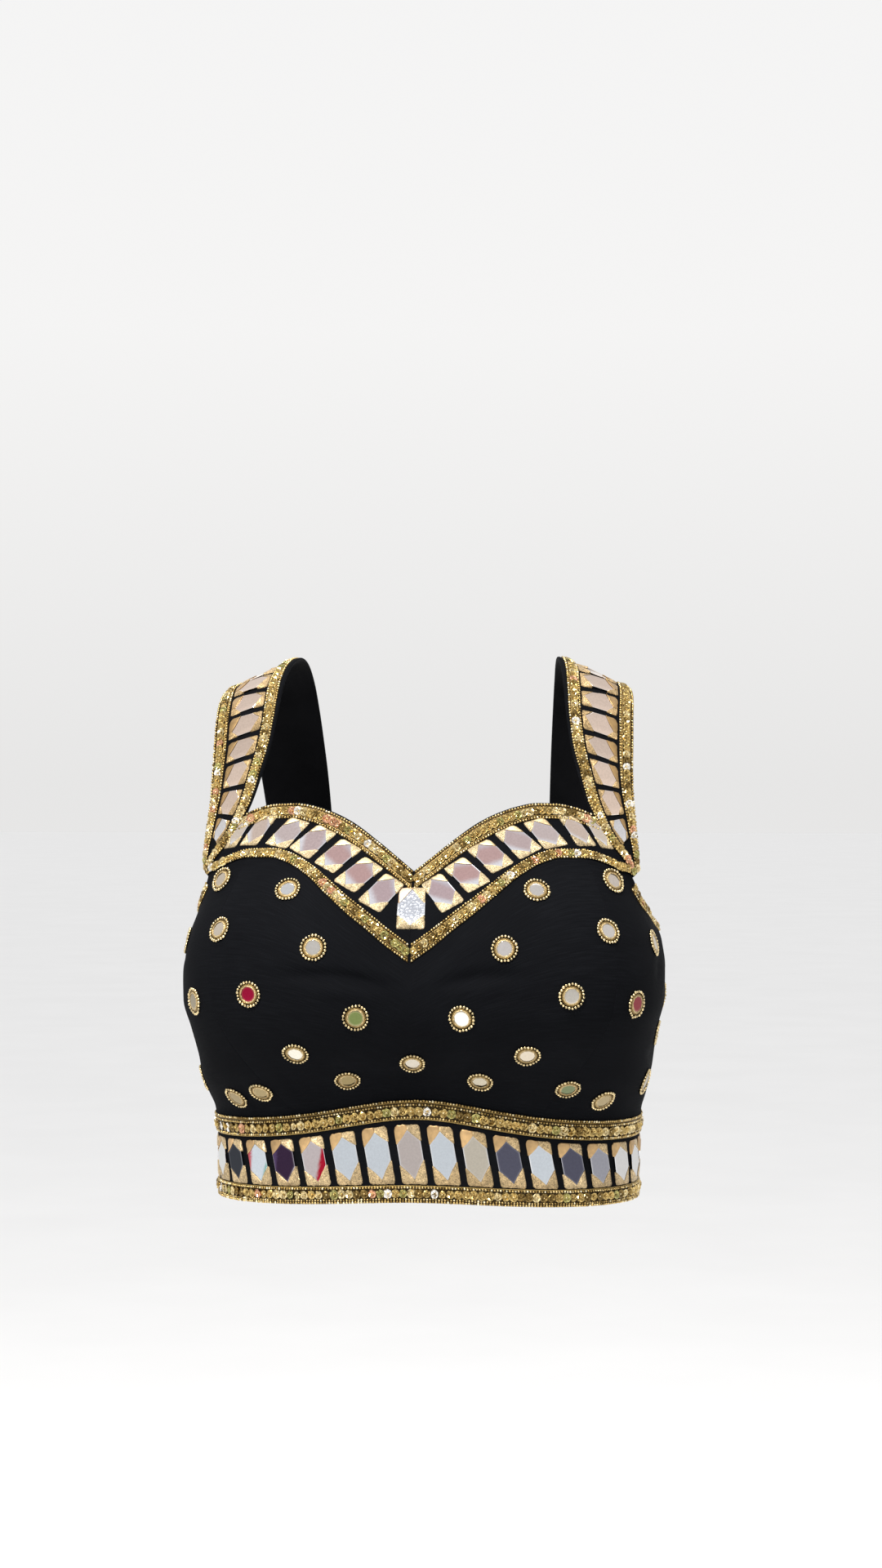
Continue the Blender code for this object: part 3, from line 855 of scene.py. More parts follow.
panel("placket", placket_at, (24, 156), ("free",) * 4, u_range=(-1, 1), pitch=3.0,
      low=-3.8, high=-2.0)

# ================================================================ small parts
def dome(sides, rings, foot=-0.35):
    """A bead: rings of (height, radius) closed by a point above and flat below."""
    t = np.arange(sides) * 2 * math.pi / sides
    verts = [np.stack([r * np.cos(t), r * np.sin(t), h + 0 * t], -1) for h, r in rings]
    verts = np.concatenate(verts + [[[0, 0, 1.0]], [[0, 0, foot]]])
    tris = []
    for k in range(len(rings) - 1):
        for i in range(sides):
            j = (i + 1) % sides
            a, b = k * sides + i, k * sides + j
            tris += [(a, b, b + sides), (a, b + sides, a + sides)]
    top, low = len(rings) * sides, len(rings) * sides + 1
    last = (len(rings) - 1) * sides
    for i in range(sides):
        j = (i + 1) % sides
        tris += [(last + i, last + j, top), (j, i, low)]
    return verts, np.array(tris)


BEAD_SHAPE = dome(8, [(-0.35, 0.86), (0.15, 0.99), (0.72, 0.68)])


def sequin_shape(sides=8):
    """A small cut cup: a raised rim of flat facets round a sunk middle; its bead is made apart.
    """
    t = np.arange(sides) * 2 * math.pi / sides
    zig = np.where(np.arange(sides) % 2 == 0, 1.0, -1.0)
    rings = [(0.36, 0.12 - 0.03 * zig, t), (0.72, 0.42 + 0.10 * zig, t + 0.2),
             (1.0, 0.30 - 0.08 * zig, t), (0.92, -0.10 + 0 * zig, t)]
    verts = [np.stack([r * np.cos(a), r * np.sin(a), h], -1) for r, h, a in rings]
    verts = np.concatenate([[[0, 0, 0.02]]] + verts + [[[0, 0, -0.12]]])
    tris = []
    for i in range(sides):
        j = (i + 1) % sides
        tris.append((0, 1 + i, 1 + j))
        for k in range(3):
            a, b = 1 + k * sides + i, 1 + k * sides + j
            tris += [(a, a + sides, b + sides), (a, b + sides, b)]
        tris.append((1 + 3 * sides + i, len(verts) - 1, 1 + 3 * sides + j))
    return verts, np.array(tris)


SEQUIN_SHAPE = sequin_shape()
EYE_SHAPE = dome(6, [(-0.35, 0.9), (0.45, 0.85)])


def resample(line, pitch, start=0.5, end=0.5):
    """Points at an even pitch along a line, and the direction there."""
    run = np.append(0, np.cumsum(np.linalg.norm(np.diff(line, axis=0), axis=1)))
    count = max(1, int((run[-1] - (start + end) * pitch) / pitch + 0.5))
    at = np.linspace(start * pitch, run[-1] - end * pitch, count + 1)
    points = np.stack([np.interp(at, run, line[:, k]) for k in range(3)], -1)
    ahead = np.stack([np.interp(at + 0.6, run, line[:, k]) for k in range(3)], -1)
    behind = np.stack([np.interp(at - 0.6, run, line[:, k]) for k in range(3)], -1)
    return points, unit(ahead - behind), at


def across_ribbon(ribbon, share):
    """The line at a share across a ribbon of lines (points, lines, 3)."""
    x = share * (ribbon.shape[1] - 1)
    i = int(min(max(math.floor(x), 0), ribbon.shape[1] - 2))
    return mix(ribbon[:, i], ribbon[:, i + 1], x - i)


def axes_at(points, way):
    n = normal(points)
    along = unit(way - n * (way * n).sum(-1, keepdims=True))
    return np.stack([along, np.cross(n, along), n], axis=1)


def jitter_axes(axes, rng, tilt):
    """Axes turned a little at random about the two directions along the cloth."""
    a = rng.normal(0, tilt, (len(axes), 2))
    n = unit(axes[:, 2] + a[:, :1] * axes[:, 0] + a[:, 1:] * axes[:, 1])
    along = unit(axes[:, 0] - n * (axes[:, 0] * n).sum(-1, keepdims=True))
    return np.stack([along, np.cross(n, along), n], axis=1)


GOLDS = np.array([(0.49, 0.345, 0.13), (0.61, 0.465, 0.22), (0.23, 0.15, 0.048),
                  (0.82, 0.71, 0.45)])
SEQUIN_TINTS = [
    # share, colour
    (0.45, (0.49, 0.35, 0.13)),
    (0.20, (0.66, 0.53, 0.28)),
    (0.08, (0.39, 0.35, 0.13)),
    (0.07, (0.68, 0.37, 0.22)),
    (0.06, (0.93, 0.89, 0.81)),
    (0.14, (0.21, 0.14, 0.048)),
]


def bead_row(mesh, ribbon, share, pitch, size, rng, height=None, start=0.5, end=0.5):
    points, way, _ = resample(across_ribbon(ribbon, share), pitch, start, end)
    n = len(points)
    r = size / 2 * (1 + rng.normal(0, 0.05, n))
    axes = jitter_axes(axes_at(points, way), rng, 0.06)
    points = points + axes[:, 1] * rng.normal(0, 0.07, n)[:, None]
    centre = lift(points, WALL + 0.30 * size if height is None else height)
    tint = GOLDS[rng.choice(4, n, p=(0.42, 0.28, 0.16, 0.14))] * rng.uniform(
        0.85, 1.1, (n, 1))
    mesh.many(BEAD_SHAPE, centre, axes, np.stack([r * 1.02, r, r], -1), tint, 0)


def sequin_row(mesh, ribbon, share, pitch, size, rng, start=0.6, end=0.6):
    points, way, _ = resample(across_ribbon(ribbon, share), pitch, start, end)
    n = len(points)
    r = size / 2 * (1 + rng.normal(0, 0.06, n))
    axes = axes_at(points, way)
    tip = rng.normal(0.16, 0.07, n)[:, None]
    axes = jitter_axes(np.stack([
        unit(axes[:, 0] + tip * axes[:, 2]), axes[:, 1],
        unit(axes[:, 2] - tip * axes[:, 0])], axis=1), rng, 0.10)
    spin = rng.uniform(0, math.pi, n)
    c, s = np.cos(spin)[:, None], np.sin(spin)[:, None]
    axes = np.stack([axes[:, 0] * c + axes[:, 1] * s, axes[:, 1] * c - axes[:, 0] * s,
                     axes[:, 2]], axis=1)
    points = points + axes[:, 1] * rng.normal(0, 0.10, n)[:, None]
    centre = lift(points, WALL + 0.42)
    shares = np.array([t[0] for t in SEQUIN_TINTS])
    tint = np.array([t[1] for t in SEQUIN_TINTS])[rng.choice(
        len(shares), n, p=shares / shares.sum())] * rng.uniform(0.85, 1.08, (n, 1))
    mesh.many(SEQUIN_SHAPE, centre, axes, np.stack([r, r, r * 0.9], -1), tint, 2, False)
    mesh.many(EYE_SHAPE, centre + axes[:, 2] * 0.25, axes, 0.24 * r[:, None],
              GOLDS[rng.choice(4, n)] * 1.05, 0)


def tube(mesh, line, r, mat, tint, sides=6, closed=False):
    """A round cord along a line of points."""
    way = np.gradient(line, axis=0) if not closed else (
        np.roll(line, -1, 0) - np.roll(line, 1, 0))
    way = unit(way)
    n = normal(line)
    side = unit(np.cross(n, way))
    up = np.cross(way, side)
    t = np.arange(sides) * 2 * math.pi / sides
    ring = (side[:, None] * np.cos(t)[None, :, None] + up[:, None] * np.sin(t)[None, :, None])
    verts = line[:, None] + ring * r
    k = len(line)
    ids = np.arange(k * sides).reshape(k, sides)
    nxt_i = np.roll(ids, -1, axis=0) if closed else ids[1:]
    cur = ids if closed else ids[:-1]
    quads = np.stack([cur, np.roll(cur, -1, 1), np.roll(nxt_i, -1, 1), nxt_i], -1)
    run = np.append(0, np.cumsum(np.linalg.norm(np.diff(line, axis=0), axis=1)))
    uv = np.stack(np.broadcast_arrays(run[:, None] * 0.01, (t / 40)[None]), -1)
    verts_all = verts.reshape(-1, 3)
    tris = []
    if not closed:
        for i in range(1, sides - 1):
            tris += [(0, i + 1, i), (ids[-1, 0], ids[-1, i], ids[-1, i + 1])]
    mesh.add(verts_all, quads=quads.reshape(-1, 4), tris=tris, mat=mat, tint=tint, uv=uv)


def cord_row(mesh, ribbon, share, r, rng, height=None, tint=(0.40, 0.27, 0.09)):
    points, _, _ = resample(across_ribbon(ribbon, share), 1.7, 0.2, 0.2)
    tube(mesh, lift(points, WALL + r * 0.7 if height is None else height), r, 1,
         tint)


def tape(mesh, ribbon, a, b, tint=(0.045, 0.028, 0.009)):
    """The flat gold tape that a trim's beads are sewn on, a closed thin strip; its near-black
    tint is painted shade in the gaps between the beads and sequins.
    """
    shares = (a, a, a + 0.03, 0.35, 0.5, 0.65, b - 0.03, b, b)
    heights = (-0.10, 0.12, 0.30, 0.36, 0.38, 0.36, 0.30, 0.12, -0.10)
    rows = [lift(across_ribbon(ribbon, s), WALL + h) for s, h in zip(shares, heights)]
    verts = np.stack(rows)
    m, count = verts.shape[:2]
    ids = np.arange(m * count).reshape(m, count)
    nxt = np.roll(ids, -1, axis=0)
    quads = np.stack([ids[:, :-1], nxt[:, :-1], nxt[:, 1:], ids[:, 1:]], -1).reshape(-1, 4)
    caps = np.array([(ids[0, 0], ids[i + 1, 0], ids[i, 0]) for i in range(1, m - 1)] + [
        (ids[0, -1], ids[i, -1], ids[i + 1, -1]) for i in range(1, m - 1)])
    mid = count // 2
    face = np.cross(verts[4, mid] - verts[3, mid], verts[4, mid + 1] - verts[3, mid])
    if face @ normal(ribbon[mid, :1])[0] < 0:
        quads, caps = quads[:, ::-1], caps[:, ::-1]
    run = np.append(0, np.cumsum(np.linalg.norm(np.diff(verts[4], axis=0), axis=-1)))
    wide = np.append(0, np.cumsum(np.linalg.norm(np.diff(verts[:, mid], axis=0), axis=-1)))
    uv = np.stack(np.meshgrid(wide, run, indexing="ij"), -1) * 0.01
    mesh.add(verts, quads=quads, tris=caps, mat=1, tint=tint, uv=uv)


def narrow_trim(mesh, ribbon, rng, ends=(0.5, 0.5)):
    """A trim about 9 mm wide: bead row, fine cord, cut sequins, fine cord, bead row, on
    its tape. Its ribbon runs from the garment's edge (0) to the tiles or the panel (1)."""
    a, b = ends
    tape(mesh, ribbon, 0.07, 0.95)
    bead_row(mesh, ribbon, 0.13, 1.72, 1.58, rng, start=a, end=b)
    cord_row(mesh, ribbon, 0.265, 0.34, rng)
    sequin_row(mesh, ribbon, 0.515, 3.7, 5.3, rng, a + 0.1, b + 0.1)
    cord_row(mesh, ribbon, 0.765, 0.34, rng)
    bead_row(mesh, ribbon, 0.885, 1.72, 1.58, rng, start=a, end=b)


def ribbon_of(surface, us, v0, v1, mirror=False, lines=9):
    g = surface(*np.meshgrid(us, np.linspace(0, 1, lines), indexing="ij")) if v0 is None \
        else surface(np.repeat(us[:, None], lines, 1), mix(
            np.broadcast_to(v0, us.shape)[:, None], np.broadcast_to(v1, us.shape)[:, None],
            np.linspace(0, 1, lines)[None]))
    return g * np.array([-1.0, 1.0, 1.0]) if mirror else g


# ================================================================ trims
fine = lambda a, b, n: np.linspace(a, b, n)
strap_turns = np.linspace(116.5, -111.6, 170)
m0, m1, m2, _ = strap_marks(strap_turns)
side_u = np.linspace(SPLIT + 0.02, 1, 60)
back_u = np.linspace(0, 7 / 19 - 1e-4, 70)
neck_u = np.linspace(12 / 19 + 1e-4, 1 - 0.002, 60)
tail_arm = strap_at(-112.0, np.linspace(1.0, _marks[2], 9))
tail_neck = strap_at(-112.0, np.linspace(0.0, _marks[1], 9))


def edge_band(lines, u, width, first=None, last=None, count=9):
    """A ribbon along a torso panel's free upper edge, square to it; first and last are
    rows of points at the strap's seam that it turns to over its last 16 mm."""
    top_turn, top_z, _ = lines(u)
    edge = on_torso(top_turn, top_z)
    run = np.append(0, np.cumsum(np.linalg.norm(np.diff(edge, axis=0), axis=1)))
    ahead, behind = [np.stack([np.interp(run + d, run, edge[:, k]) for k in range(3)], -1)
                     for d in (6, -6)]
    down = np.cross(normal(edge), unit(ahead - behind))
    down = down * np.sign(-down[:, 2].mean())
    p = edge[:, None] + down[:, None] * width * np.linspace(0, 1, count)[None, :, None]
    for row, away in ((first, run), (last, run[-1] - run)):
        if row is not None:
            p = mix(p, edge[:, None] + (row - row[:1])[None],
                    step(1 - away / 16)[:, None, None])
    return on_torso(np.arctan2(p[..., 0], -p[..., 1]), p[..., 2])


for k, (tag, mirror) in enumerate((("L", False), ("R", True))):
    flip = np.array([-1.0, 1.0, 1.0]) if mirror else np.ones(3)
    rng = np.random.default_rng(11 + k)
    s = np.linspace(0.006, 0.995, 150)
    mesh = Build()
    narrow_trim(mesh, ribbon_of(band, s, 0.995, 0.762, mirror), rng)
    mesh.finish("trim_beads_neck_top_" + tag, TRIM_MATERIALS, ["trim_neck_top_" + tag],
                "gold_trim")
    mesh = Build()
    narrow_trim(mesh, ribbon_of(band, s, 0.0, 0.228, mirror), rng)
    mesh.finish("trim_beads_neck_low_" + tag, TRIM_MATERIALS, ["trim_neck_low_" + tag],
                "gold_trim")
    mesh = Build()
    narrow_trim(mesh, ribbon_of(strap_at, strap_turns, m0, m1, mirror), rng)
    mesh.finish("trim_beads_strap_neck_" + tag, TRIM_MATERIALS,
                ["trim_strap_neck_" + tag], "gold_trim")
    mesh = Build()
    narrow_trim(mesh, ribbon_of(strap_at, strap_turns, 1.0, m2, mirror), rng)
    mesh.finish("trim_beads_strap_arm_" + tag, TRIM_MATERIALS, ["trim_strap_arm_" + tag],
                "gold_trim")
    mesh = Build()
    arm = np.concatenate([edge_band(side_lines, side_u, TRIM_W),
                          edge_band(back_lines, back_u, TRIM_W, last=tail_arm)[1:]]) * flip
    narrow_trim(mesh, arm, rng)
    mesh.finish("trim_beads_armhole_" + tag, TRIM_MATERIALS, ["trim_armhole_" + tag],
                "gold_trim")
    mesh = Build()
    narrow_trim(mesh, edge_band(back_lines, neck_u, TRIM_W, tail_neck) * flip, rng)
    mesh.finish("trim_beads_back_neck_" + tag, TRIM_MATERIALS,
                ["trim_back_neck_" + tag], "gold_trim")

rng = np.random.default_rng(31)
round_turn = np.linspace(-180 + OPEN + 0.2, 180 - OPEN - 0.2, 440)
t = np.radians(round_turn)
z_low, z_top = hem(t), waist_top(t)


def waist_ribbon(z_a, z_b, count=13):
    w = np.linspace(0, 1, count)[None]
    return on_torso(np.repeat(t[:, None], count, 1), mix(z_a[:, None], z_b[:, None], w))


mesh = Build()
top = waist_ribbon(z_top - 0.5, z_top - WAIST_TRIM_TOP)
tape(mesh, top, 0.02, 0.99)
bead_row(mesh, top, 0.06, 1.72, 1.55, rng)
cord_row(mesh, top, 0.15, 0.30, rng)
bead_row(mesh, top, 0.27, 1.72, 1.55, rng)
sequin_row(mesh, top, 0.585, 4.7, 5.7, rng)
bead_row(mesh, top, 0.915, 1.72, 1.60, rng)
cord_row(mesh, top, 1.0, 0.30, rng, tint=(0.50, 0.35, 0.12))
mesh.finish("trim_beads_waist_top", TRIM_MATERIALS, ["trim_waist_top"], "gold_trim")
mesh = Build()
low = waist_ribbon(z_low + WAIST_TRIM_LOW, z_low + 0.2)
tape(mesh, low, 0.03, 0.97)
cord_row(mesh, low, 0.01, 0.30, rng, tint=(0.50, 0.35, 0.12))
bead_row(mesh, low, 0.10, 1.72, 1.55, rng)
sequin_row(mesh, low, 0.45, 4.5, 5.4, rng)
bead_row(mesh, low, 0.79, 1.72, 1.50, rng)
bead_row(mesh, low, 0.93, 1.72, 1.60, rng)
mesh.finish("trim_beads_waist_low", TRIM_MATERIALS, ["trim_waist_low"], "gold_trim")

# ================================================================ mirror tiles
# The mirror's six corners in its patch: across from left to right, up from the foot.
HEX_BAND = [(0.01, 0.35), (0.01, 0.68), (0.50, 0.97), (0.99, 0.66), (0.99, 0.34), (0.48, 0.04)]
HEX_WAIST = [(0.02, 0.31), (0.01, 0.68), (0.50, 0.93), (0.98, 0.74), (0.99, 0.41), (0.52, 0.07)]
HEX_STRAP = [(0.09, 0.33), (0.33, 0.99), (0.72, 0.99), (0.96, 0.70), (0.72, 0.01), (0.29, 0.01)]
# Which edges of the mirror a corner of the patch folds over: edge, corner.
UPRIGHT = {2: (1, 1), 4: (1, 0), 5: (0, 0), 1: (0, 1)}
LYING = {2: (1, 1), 3: (1, 0), 5: (0, 0), 0: (0, 1)}
CREAM, TAN = (0.60, 0.47, 0.275), (0.42, 0.285, 0.13)


def mirrored(hexagon, folds):
    """The same mirror seen from the other side; it keeps the order of its edges."""
    order = (4, 3, 2, 1, 0, 5) if folds is UPRIGHT else (3, 2, 1, 0, 5, 4)
    return [(1 - hexagon[i][0], hexagon[i][1]) for i in order]


def tile(gold, glass, place, corners, hexagon, folds, rng, patch, plain, core, rim,
         paint=None, plain_corner=(0, 1), ragged=1.0):
    """One tile: a mirror plate held by the four folded corners of its patch. One corner
    is plain foil in a deeper tint, the other three are stitched over."""
    tl, tr, br, bl = [np.array(c, float) for c in corners]

    def spot(uv):
        u, v = uv[..., :1], uv[..., 1:]
        return place(mix(mix(bl, br, u), mix(tl, tr, u), v))

    h = np.array(hexagon, float)
    outline = np.concatenate([mix(h[i], h[(i + 1) % 6], np.arange(5)[:, None] / 5)
                              for i in range(6)])
    middle = h.mean(axis=0)
    p_mid = spot(middle)
    n_mid = unit(normal(p_mid[None])[0] + rng.normal(0, 0.020, 3))

    def over(p):
        """Height over the form of the plane through the middle point."""
        return ((p_mid - p) @ n_mid) / (normal(p) @ n_mid)

    p_out = spot(outline)
    top = float((2.62 + relief(p_out) - over(p_out)).max())

    for edge, corner in folds.items():
        a, b = h[edge], h[(edge + 1) % 6]
        su, sv = (-0.025, 1.025)[corner[0]], (-0.012, 1.012)[corner[1]]
        if corner in ((0, 1), (1, 0)):
            pa, pb = np.array([su, a[1]]), np.array([b[0], sv])
        else:
            pa, pb = np.array([a[0], sv]), np.array([su, b[1]])
        c = np.array([su, sv])
        own = corner == plain_corner
        k = 0.42 if own else 0.24
        w = np.linspace(0, 1, 15)[:, None]
        legs = np.where(w < 0.5, mix(pa, c, 2 * w), mix(c, pb, 2 * w - 1))
        r = np.clip((w - 0.5 + k / 2) / k, 0, 1)
        curve = ((1 - r) ** 2 * mix(pa, c, 1 - k) + 2 * r * (1 - r) * c
                 + r * r * mix(c, pb, k))
        outer = np.where(np.abs(w - 0.5) < k / 2, curve, legs)
        outer[1:-1] += rng.normal(0, 0.0042 * ragged, outer[1:-1].shape)
        inner = mix(a, b, w)
        w = w[:, 0]
        puff = np.sin(math.pi * w) ** 0.6
        p_in, p_far = spot(inner), spot(outer)
        lid = top + over(p_in)
        lip = lid + (0.34 if own else 0.20) + 0.08 * puff
        far = 2.40 + 0.04 * puff + relief(p_far)
        foot = 2.02 + relief(p_far)
        uneven = rng.normal(0, 0.03, (3, len(w)))
        rings = [
            (-0.05, lid + 0.03), (-0.05, lip - 0.12), (0.02, lip),
            (0.32, mix(lip, far, 0.28) + 0.03 * puff + uneven[0]),
            (0.62, mix(lip, far, 0.60) + 0.05 * puff + uneven[1]),
            (0.88, mix(lip, far, 0.88) + 0.06 * puff + uneven[2]),
            (0.98, far), (1.02, far - 0.24), (1.02, foot),
        ]
        span = np.linalg.norm(p_far - p_in, axis=-1)
        run = np.append(0, np.cumsum(np.linalg.norm(np.diff(p_in, axis=0), axis=-1)))
        shares = np.array([share for share, _ in rings])[:, None]
        p = spot(mix(inner[None], outer[None], shares[..., None]))
        verts = p + normal(p) * np.stack([height for _, height in rings])[..., None]
        uvs = np.stack(np.broadcast_arrays(run[None], span[None] * shares), -1)
        m, count = len(rings), len(w)
        ids = np.arange(m * count).reshape(m, count)
        nxt = np.roll(ids, -1, axis=0)
        quads = np.stack([ids[:, :-1], nxt[:, :-1], nxt[:, 1:], ids[:, 1:]], -1)
        quads = quads.reshape(-1, 4)
        caps = [(ids[0, 0], ids[i + 1, 0], ids[i, 0]) for i in range(1, m - 1)] + [
            (ids[0, -1], ids[i, -1], ids[i + 1, -1]) for i in range(1, m - 1)]
        caps = np.array(caps)
        face = np.cross(verts[4, 7] - verts[3, 7], verts[4, 8] - verts[3, 7])
        if face @ n_mid < 0:
            quads, caps = quads[:, ::-1], caps[:, ::-1]
        base = np.array(plain if own else patch) * rng.uniform(0.88, 1.12)
        tint = np.broadcast_to(base, (m, count, 3)).copy()
        # Painted light on the fold: the row under the lip, against the mirror, is painted dark as
        # shade; the crest at the lip is painted lighter as a highlight; the outer edge falling to
        # the cloth is painted darker as shade.
        tint[0] = (0.05, 0.03, 0.015)
        tint[2:4] *= 1.12
        tint[-3:] *= 0.8
        gold.add(verts, quads=quads, tris=caps, mat=1 if own else 0,
                 tint=np.clip(tint, 0, 0.96).reshape(-1, 3),
                 uv=uvs.reshape(-1, 2))

    # The plate: a thin bevel, then a flat face in rings, each with its own tints; these are
    # painted reflections, and the bevel and outermost ring take the rim colour as a painted edge
    # highlight.
    q = p_out - ((p_out - p_mid) @ n_mid)[:, None] * n_mid      # onto the plate's plane
    q = q + n_mid * top
    centre = q.mean(axis=0)
    n_out = len(q)

    def loop(scale, drop):
        return centre + (q - centre) * scale - n_mid * drop

    way = [-1, 1][int(np.cross(q[1] - q[0], q[2] - centre) @ n_mid > 0)]
    i = np.arange(n_out)
    j = (i + 1) % n_out
    edge_tint = np.repeat(np.array(rim, float)[None], n_out, 0)

    def skirt(a, b):
        quads = np.stack([i, j, j + n_out, i + n_out], -1)[:, ::way]
        glass.add(np.concatenate([a, b]), quads=quads, smooth=False,
                  tint=np.concatenate([edge_tint, edge_tint]))

    bottom, foot, brink = loop(1.02, 0.58), loop(1.02, 0.12), loop(0.985, 0.0)
    skirt(bottom, foot)
    skirt(foot, brink)
    local = (outline - middle) / np.array([0.5, 0.5])
    levels = (0.985, 0.86, 0.70, 0.52, 0.34, 0.16)
    core = np.array(core, float)
    tints = []
    for x in levels:
        here = np.repeat(core[None], n_out, 0)
        if x > 0.9:
            here = mix(here, np.array(rim, float), 0.35)
        tints.append(here if paint is None else paint(here, local * x))
    last = core[None] if paint is None else paint(core[None], np.zeros((1, 2)))
    rows = len(levels) - 1
    quads = np.concatenate([np.stack([i, j, j + n_out, i + n_out], -1) + r * n_out
                            for r in range(rows)])[:, ::way]
    tris = np.stack([i + rows * n_out, j + rows * n_out,
                     np.full(n_out, (rows + 1) * n_out)], -1)[:, ::way]
    glass.add(np.concatenate([loop(x, 0.0) for x in levels] + [centre[None]]),
              quads=quads, tris=tris, smooth=False, tint=np.concatenate(tints + [last]))
    under = np.concatenate([bottom, bottom.mean(axis=0)[None]])
    glass.add(under, tris=np.stack([j, i, np.full(n_out, n_out)], -1)[:, ::way],
              smooth=False, tint=tuple(rim))


def painted_reflection_sides(left, right, foot=None):
    """A painted reflection on the plate: its tint turns to another at the plate's left, right or
    lower right.
    """
    def paint(here, local):
        a, b = local[:, :1], local[:, 1:]
        out = here
        if left is not None:
            out = mix(out, np.array(left), step((-a - 0.62 + 0.45 * b) / 0.22))
        if right is not None:
            out = mix(out, np.array(right), step((a - 0.40 - 0.72 * b) / 0.20))
        if foot is not None:
            out = mix(out, np.array(foot), step((a - b - 0.85) / 0.28))
        return out
    return paint


def painted_reflection_fade(low, high, turn=0.0, shift=0.0):
    """A painted reflection on the plate: its tint lightens toward two opposite ends."""
    c, s = math.cos(turn), math.sin(turn)

    def paint(here, local):
        a = local[:, :1] * c + local[:, 1:] * s
        b = local[:, 1:] * c - local[:, :1] * s
        out = mix(here, np.array(low), 0.9 * step((-b - 0.38 + shift - 0.35 * a) / 0.40))
        return mix(out, np.array(high), 0.7 * step((b + 0.45 * a - 0.48 + shift) / 0.45))
    return paint


# Painted reflection colours for the mirror plates; PALE is a painted highlight on their bevelled
# rims.
GREY, BEIGE = (0.70, 0.68, 0.68), (0.72, 0.57, 0.47)
PALE = (0.88, 0.88, 0.90)
WHITISH, LILAC = (0.86, 0.86, 0.90), (0.68, 0.66, 0.72)

# Tiles of the neck band on the wearer's right, seen from the front: (x, z) of the
# corners upper left, upper right, lower right, lower left, and the mirror's tint, a painted
# reflection.
NECK_TILES = [
    ((-101.4, -97.3), (-94.6, -97.3), (-105.6, -115.3), (-112.5, -116.2), (0.70, 0.60, 0.50)),
    ((-90.6, -96.4), (-80.8, -96.7), (-92.6, -114.3), (-102.9, -114.4), (0.66, 0.53, 0.45)),
    ((-73.0, -98.0), (-61.8, -101.1), (-74.7, -116.3), (-87.2, -113.5), (0.62, 0.52, 0.50)),
    ((-56.5, -102.1), (-45.8, -107.4), (-60.8, -122.1), (-72.6, -115.7), (0.58, 0.46, 0.45)),
    ((-42.0, -110.3), (-30.6, -116.7), (-45.7, -130.0), (-57.0, -124.0), (0.58, 0.39, 0.37)),
    ((-28.5, -120.7), (-18.0, -127.4), (-32.9, -140.6), (-44.7, -134.2), (0.58, 0.38, 0.36)),
    ((-16.0, -129.9), (-5.3, -136.5), (-18.2, -151.5), (-30.5, -144.9), (0.56, 0.43, 0.44)),
]


def neck_place(xz):
    return front_point(xz[..., 0], xz[..., 1])


for k, (tag, mirror) in enumerate((("R", 1.0), ("L", -1.0))):
    rng = np.random.default_rng(51 + k)
    gold, glass = Build(), Build()
    for n, (tl, tr, br, bl, tint) in enumerate(NECK_TILES):
        corners, shape, own = (tl, tr, br, bl), HEX_BAND, (0, 1)
        if mirror < 0:
            flip = lambda c: (-c[0], c[1])
            corners = (flip(tr), flip(tl), flip(bl), flip(br))
            shape, own = mirrored(HEX_BAND, UPRIGHT), (1, 1)
        patch = np.array(CREAM) * (0.86 if n < 2 else 1.0)
        tile(gold, glass, neck_place, corners, shape, UPRIGHT, rng, patch,
             mix(np.array(CREAM), np.array(TAN), 0.25), tint, PALE,
             painted_reflection_fade(WHITISH, LILAC, rng.uniform(-0.4, 0.4), 0.10 * (n > 3) - 0.05), own)
    # The centre tile; its mirror's grey-blue core, pale rim and fade are painted reflections too.
    if tag == "R":
        tile(gold, glass, neck_place, ((-7.4, -138.5), (7.4, -138.5), (8.0, -160.5),
                                       (-8.0, -160.5)),
             [(0.0, 0.32), (0.0, 0.62), (0.5, 0.96), (1.0, 0.62), (1.0, 0.32), (0.5, 0.04)],
             UPRIGHT, rng, CREAM, mix(np.array(CREAM), np.array((0.85, 0.55, 0.40)), 0.5),
             (0.60, 0.62, 0.67), PALE, painted_reflection_fade(WHITISH, LILAC, 0.3))
    gold.finish("tile_patches_neck_" + tag, [PATCH, FOIL], slot="gold_patch")
    glass.finish("tile_mirrors_neck_" + tag, [MIRROR], slot="mirror")

# Bars of bare cloth between the strap's tiles: angle at the armhole edge and at the
# neck edge, from the front point upwards; past the shoulder they keep one pitch.
STRAP_BARS = [
    # angle_arm, angle_neck
    (100.4, 103.6), (87.1, 88.5), (71.7, 71.1), (56.9, 55.2), (43.9, 43.6),
    (32.3, 33.2), (20.1, 24.2), (8.6, 13.2),
]
BAR_PITCH = 15.8
mid_turns = np.linspace(118, -112, 461)
mid_line = strap_at(mid_turns, 0.5)
mid_run = np.append(0, np.cumsum(np.linalg.norm(np.diff(mid_line, axis=0), axis=1)))
bars = [tuple(b) for b in STRAP_BARS]
start_run = float(np.interp(-sum(bars[-1]) / 2, -mid_turns, mid_run))
rest_run = mid_run[-1] - 1.5 - start_run
rest_count = int(round(rest_run / BAR_PITCH))
for run in start_run + rest_run * np.arange(1, rest_count + 1) / rest_count:
    turn_here = float(np.interp(run, mid_run, mid_turns))
    bars.append((turn_here - 1.5, turn_here + 1.5))


def strap_place(flip):
    def place(at):
        """at is (share from the armhole trim to the neck trim, angle)."""
        share, turn = at[..., 0], at[..., 1]
        _, m_in, m_out, _ = strap_marks(turn)
        p = strap_at(turn, mix(m_out, m_in, share))
        return p * flip
    return place


def turn_shift(turn, share, mm):
    """The angle that lies mm further up the strap."""
    a = strap_at(turn, share)
    b = strap_at(turn - 1.0, share)
    return turn - mm / float(np.linalg.norm(b - a))


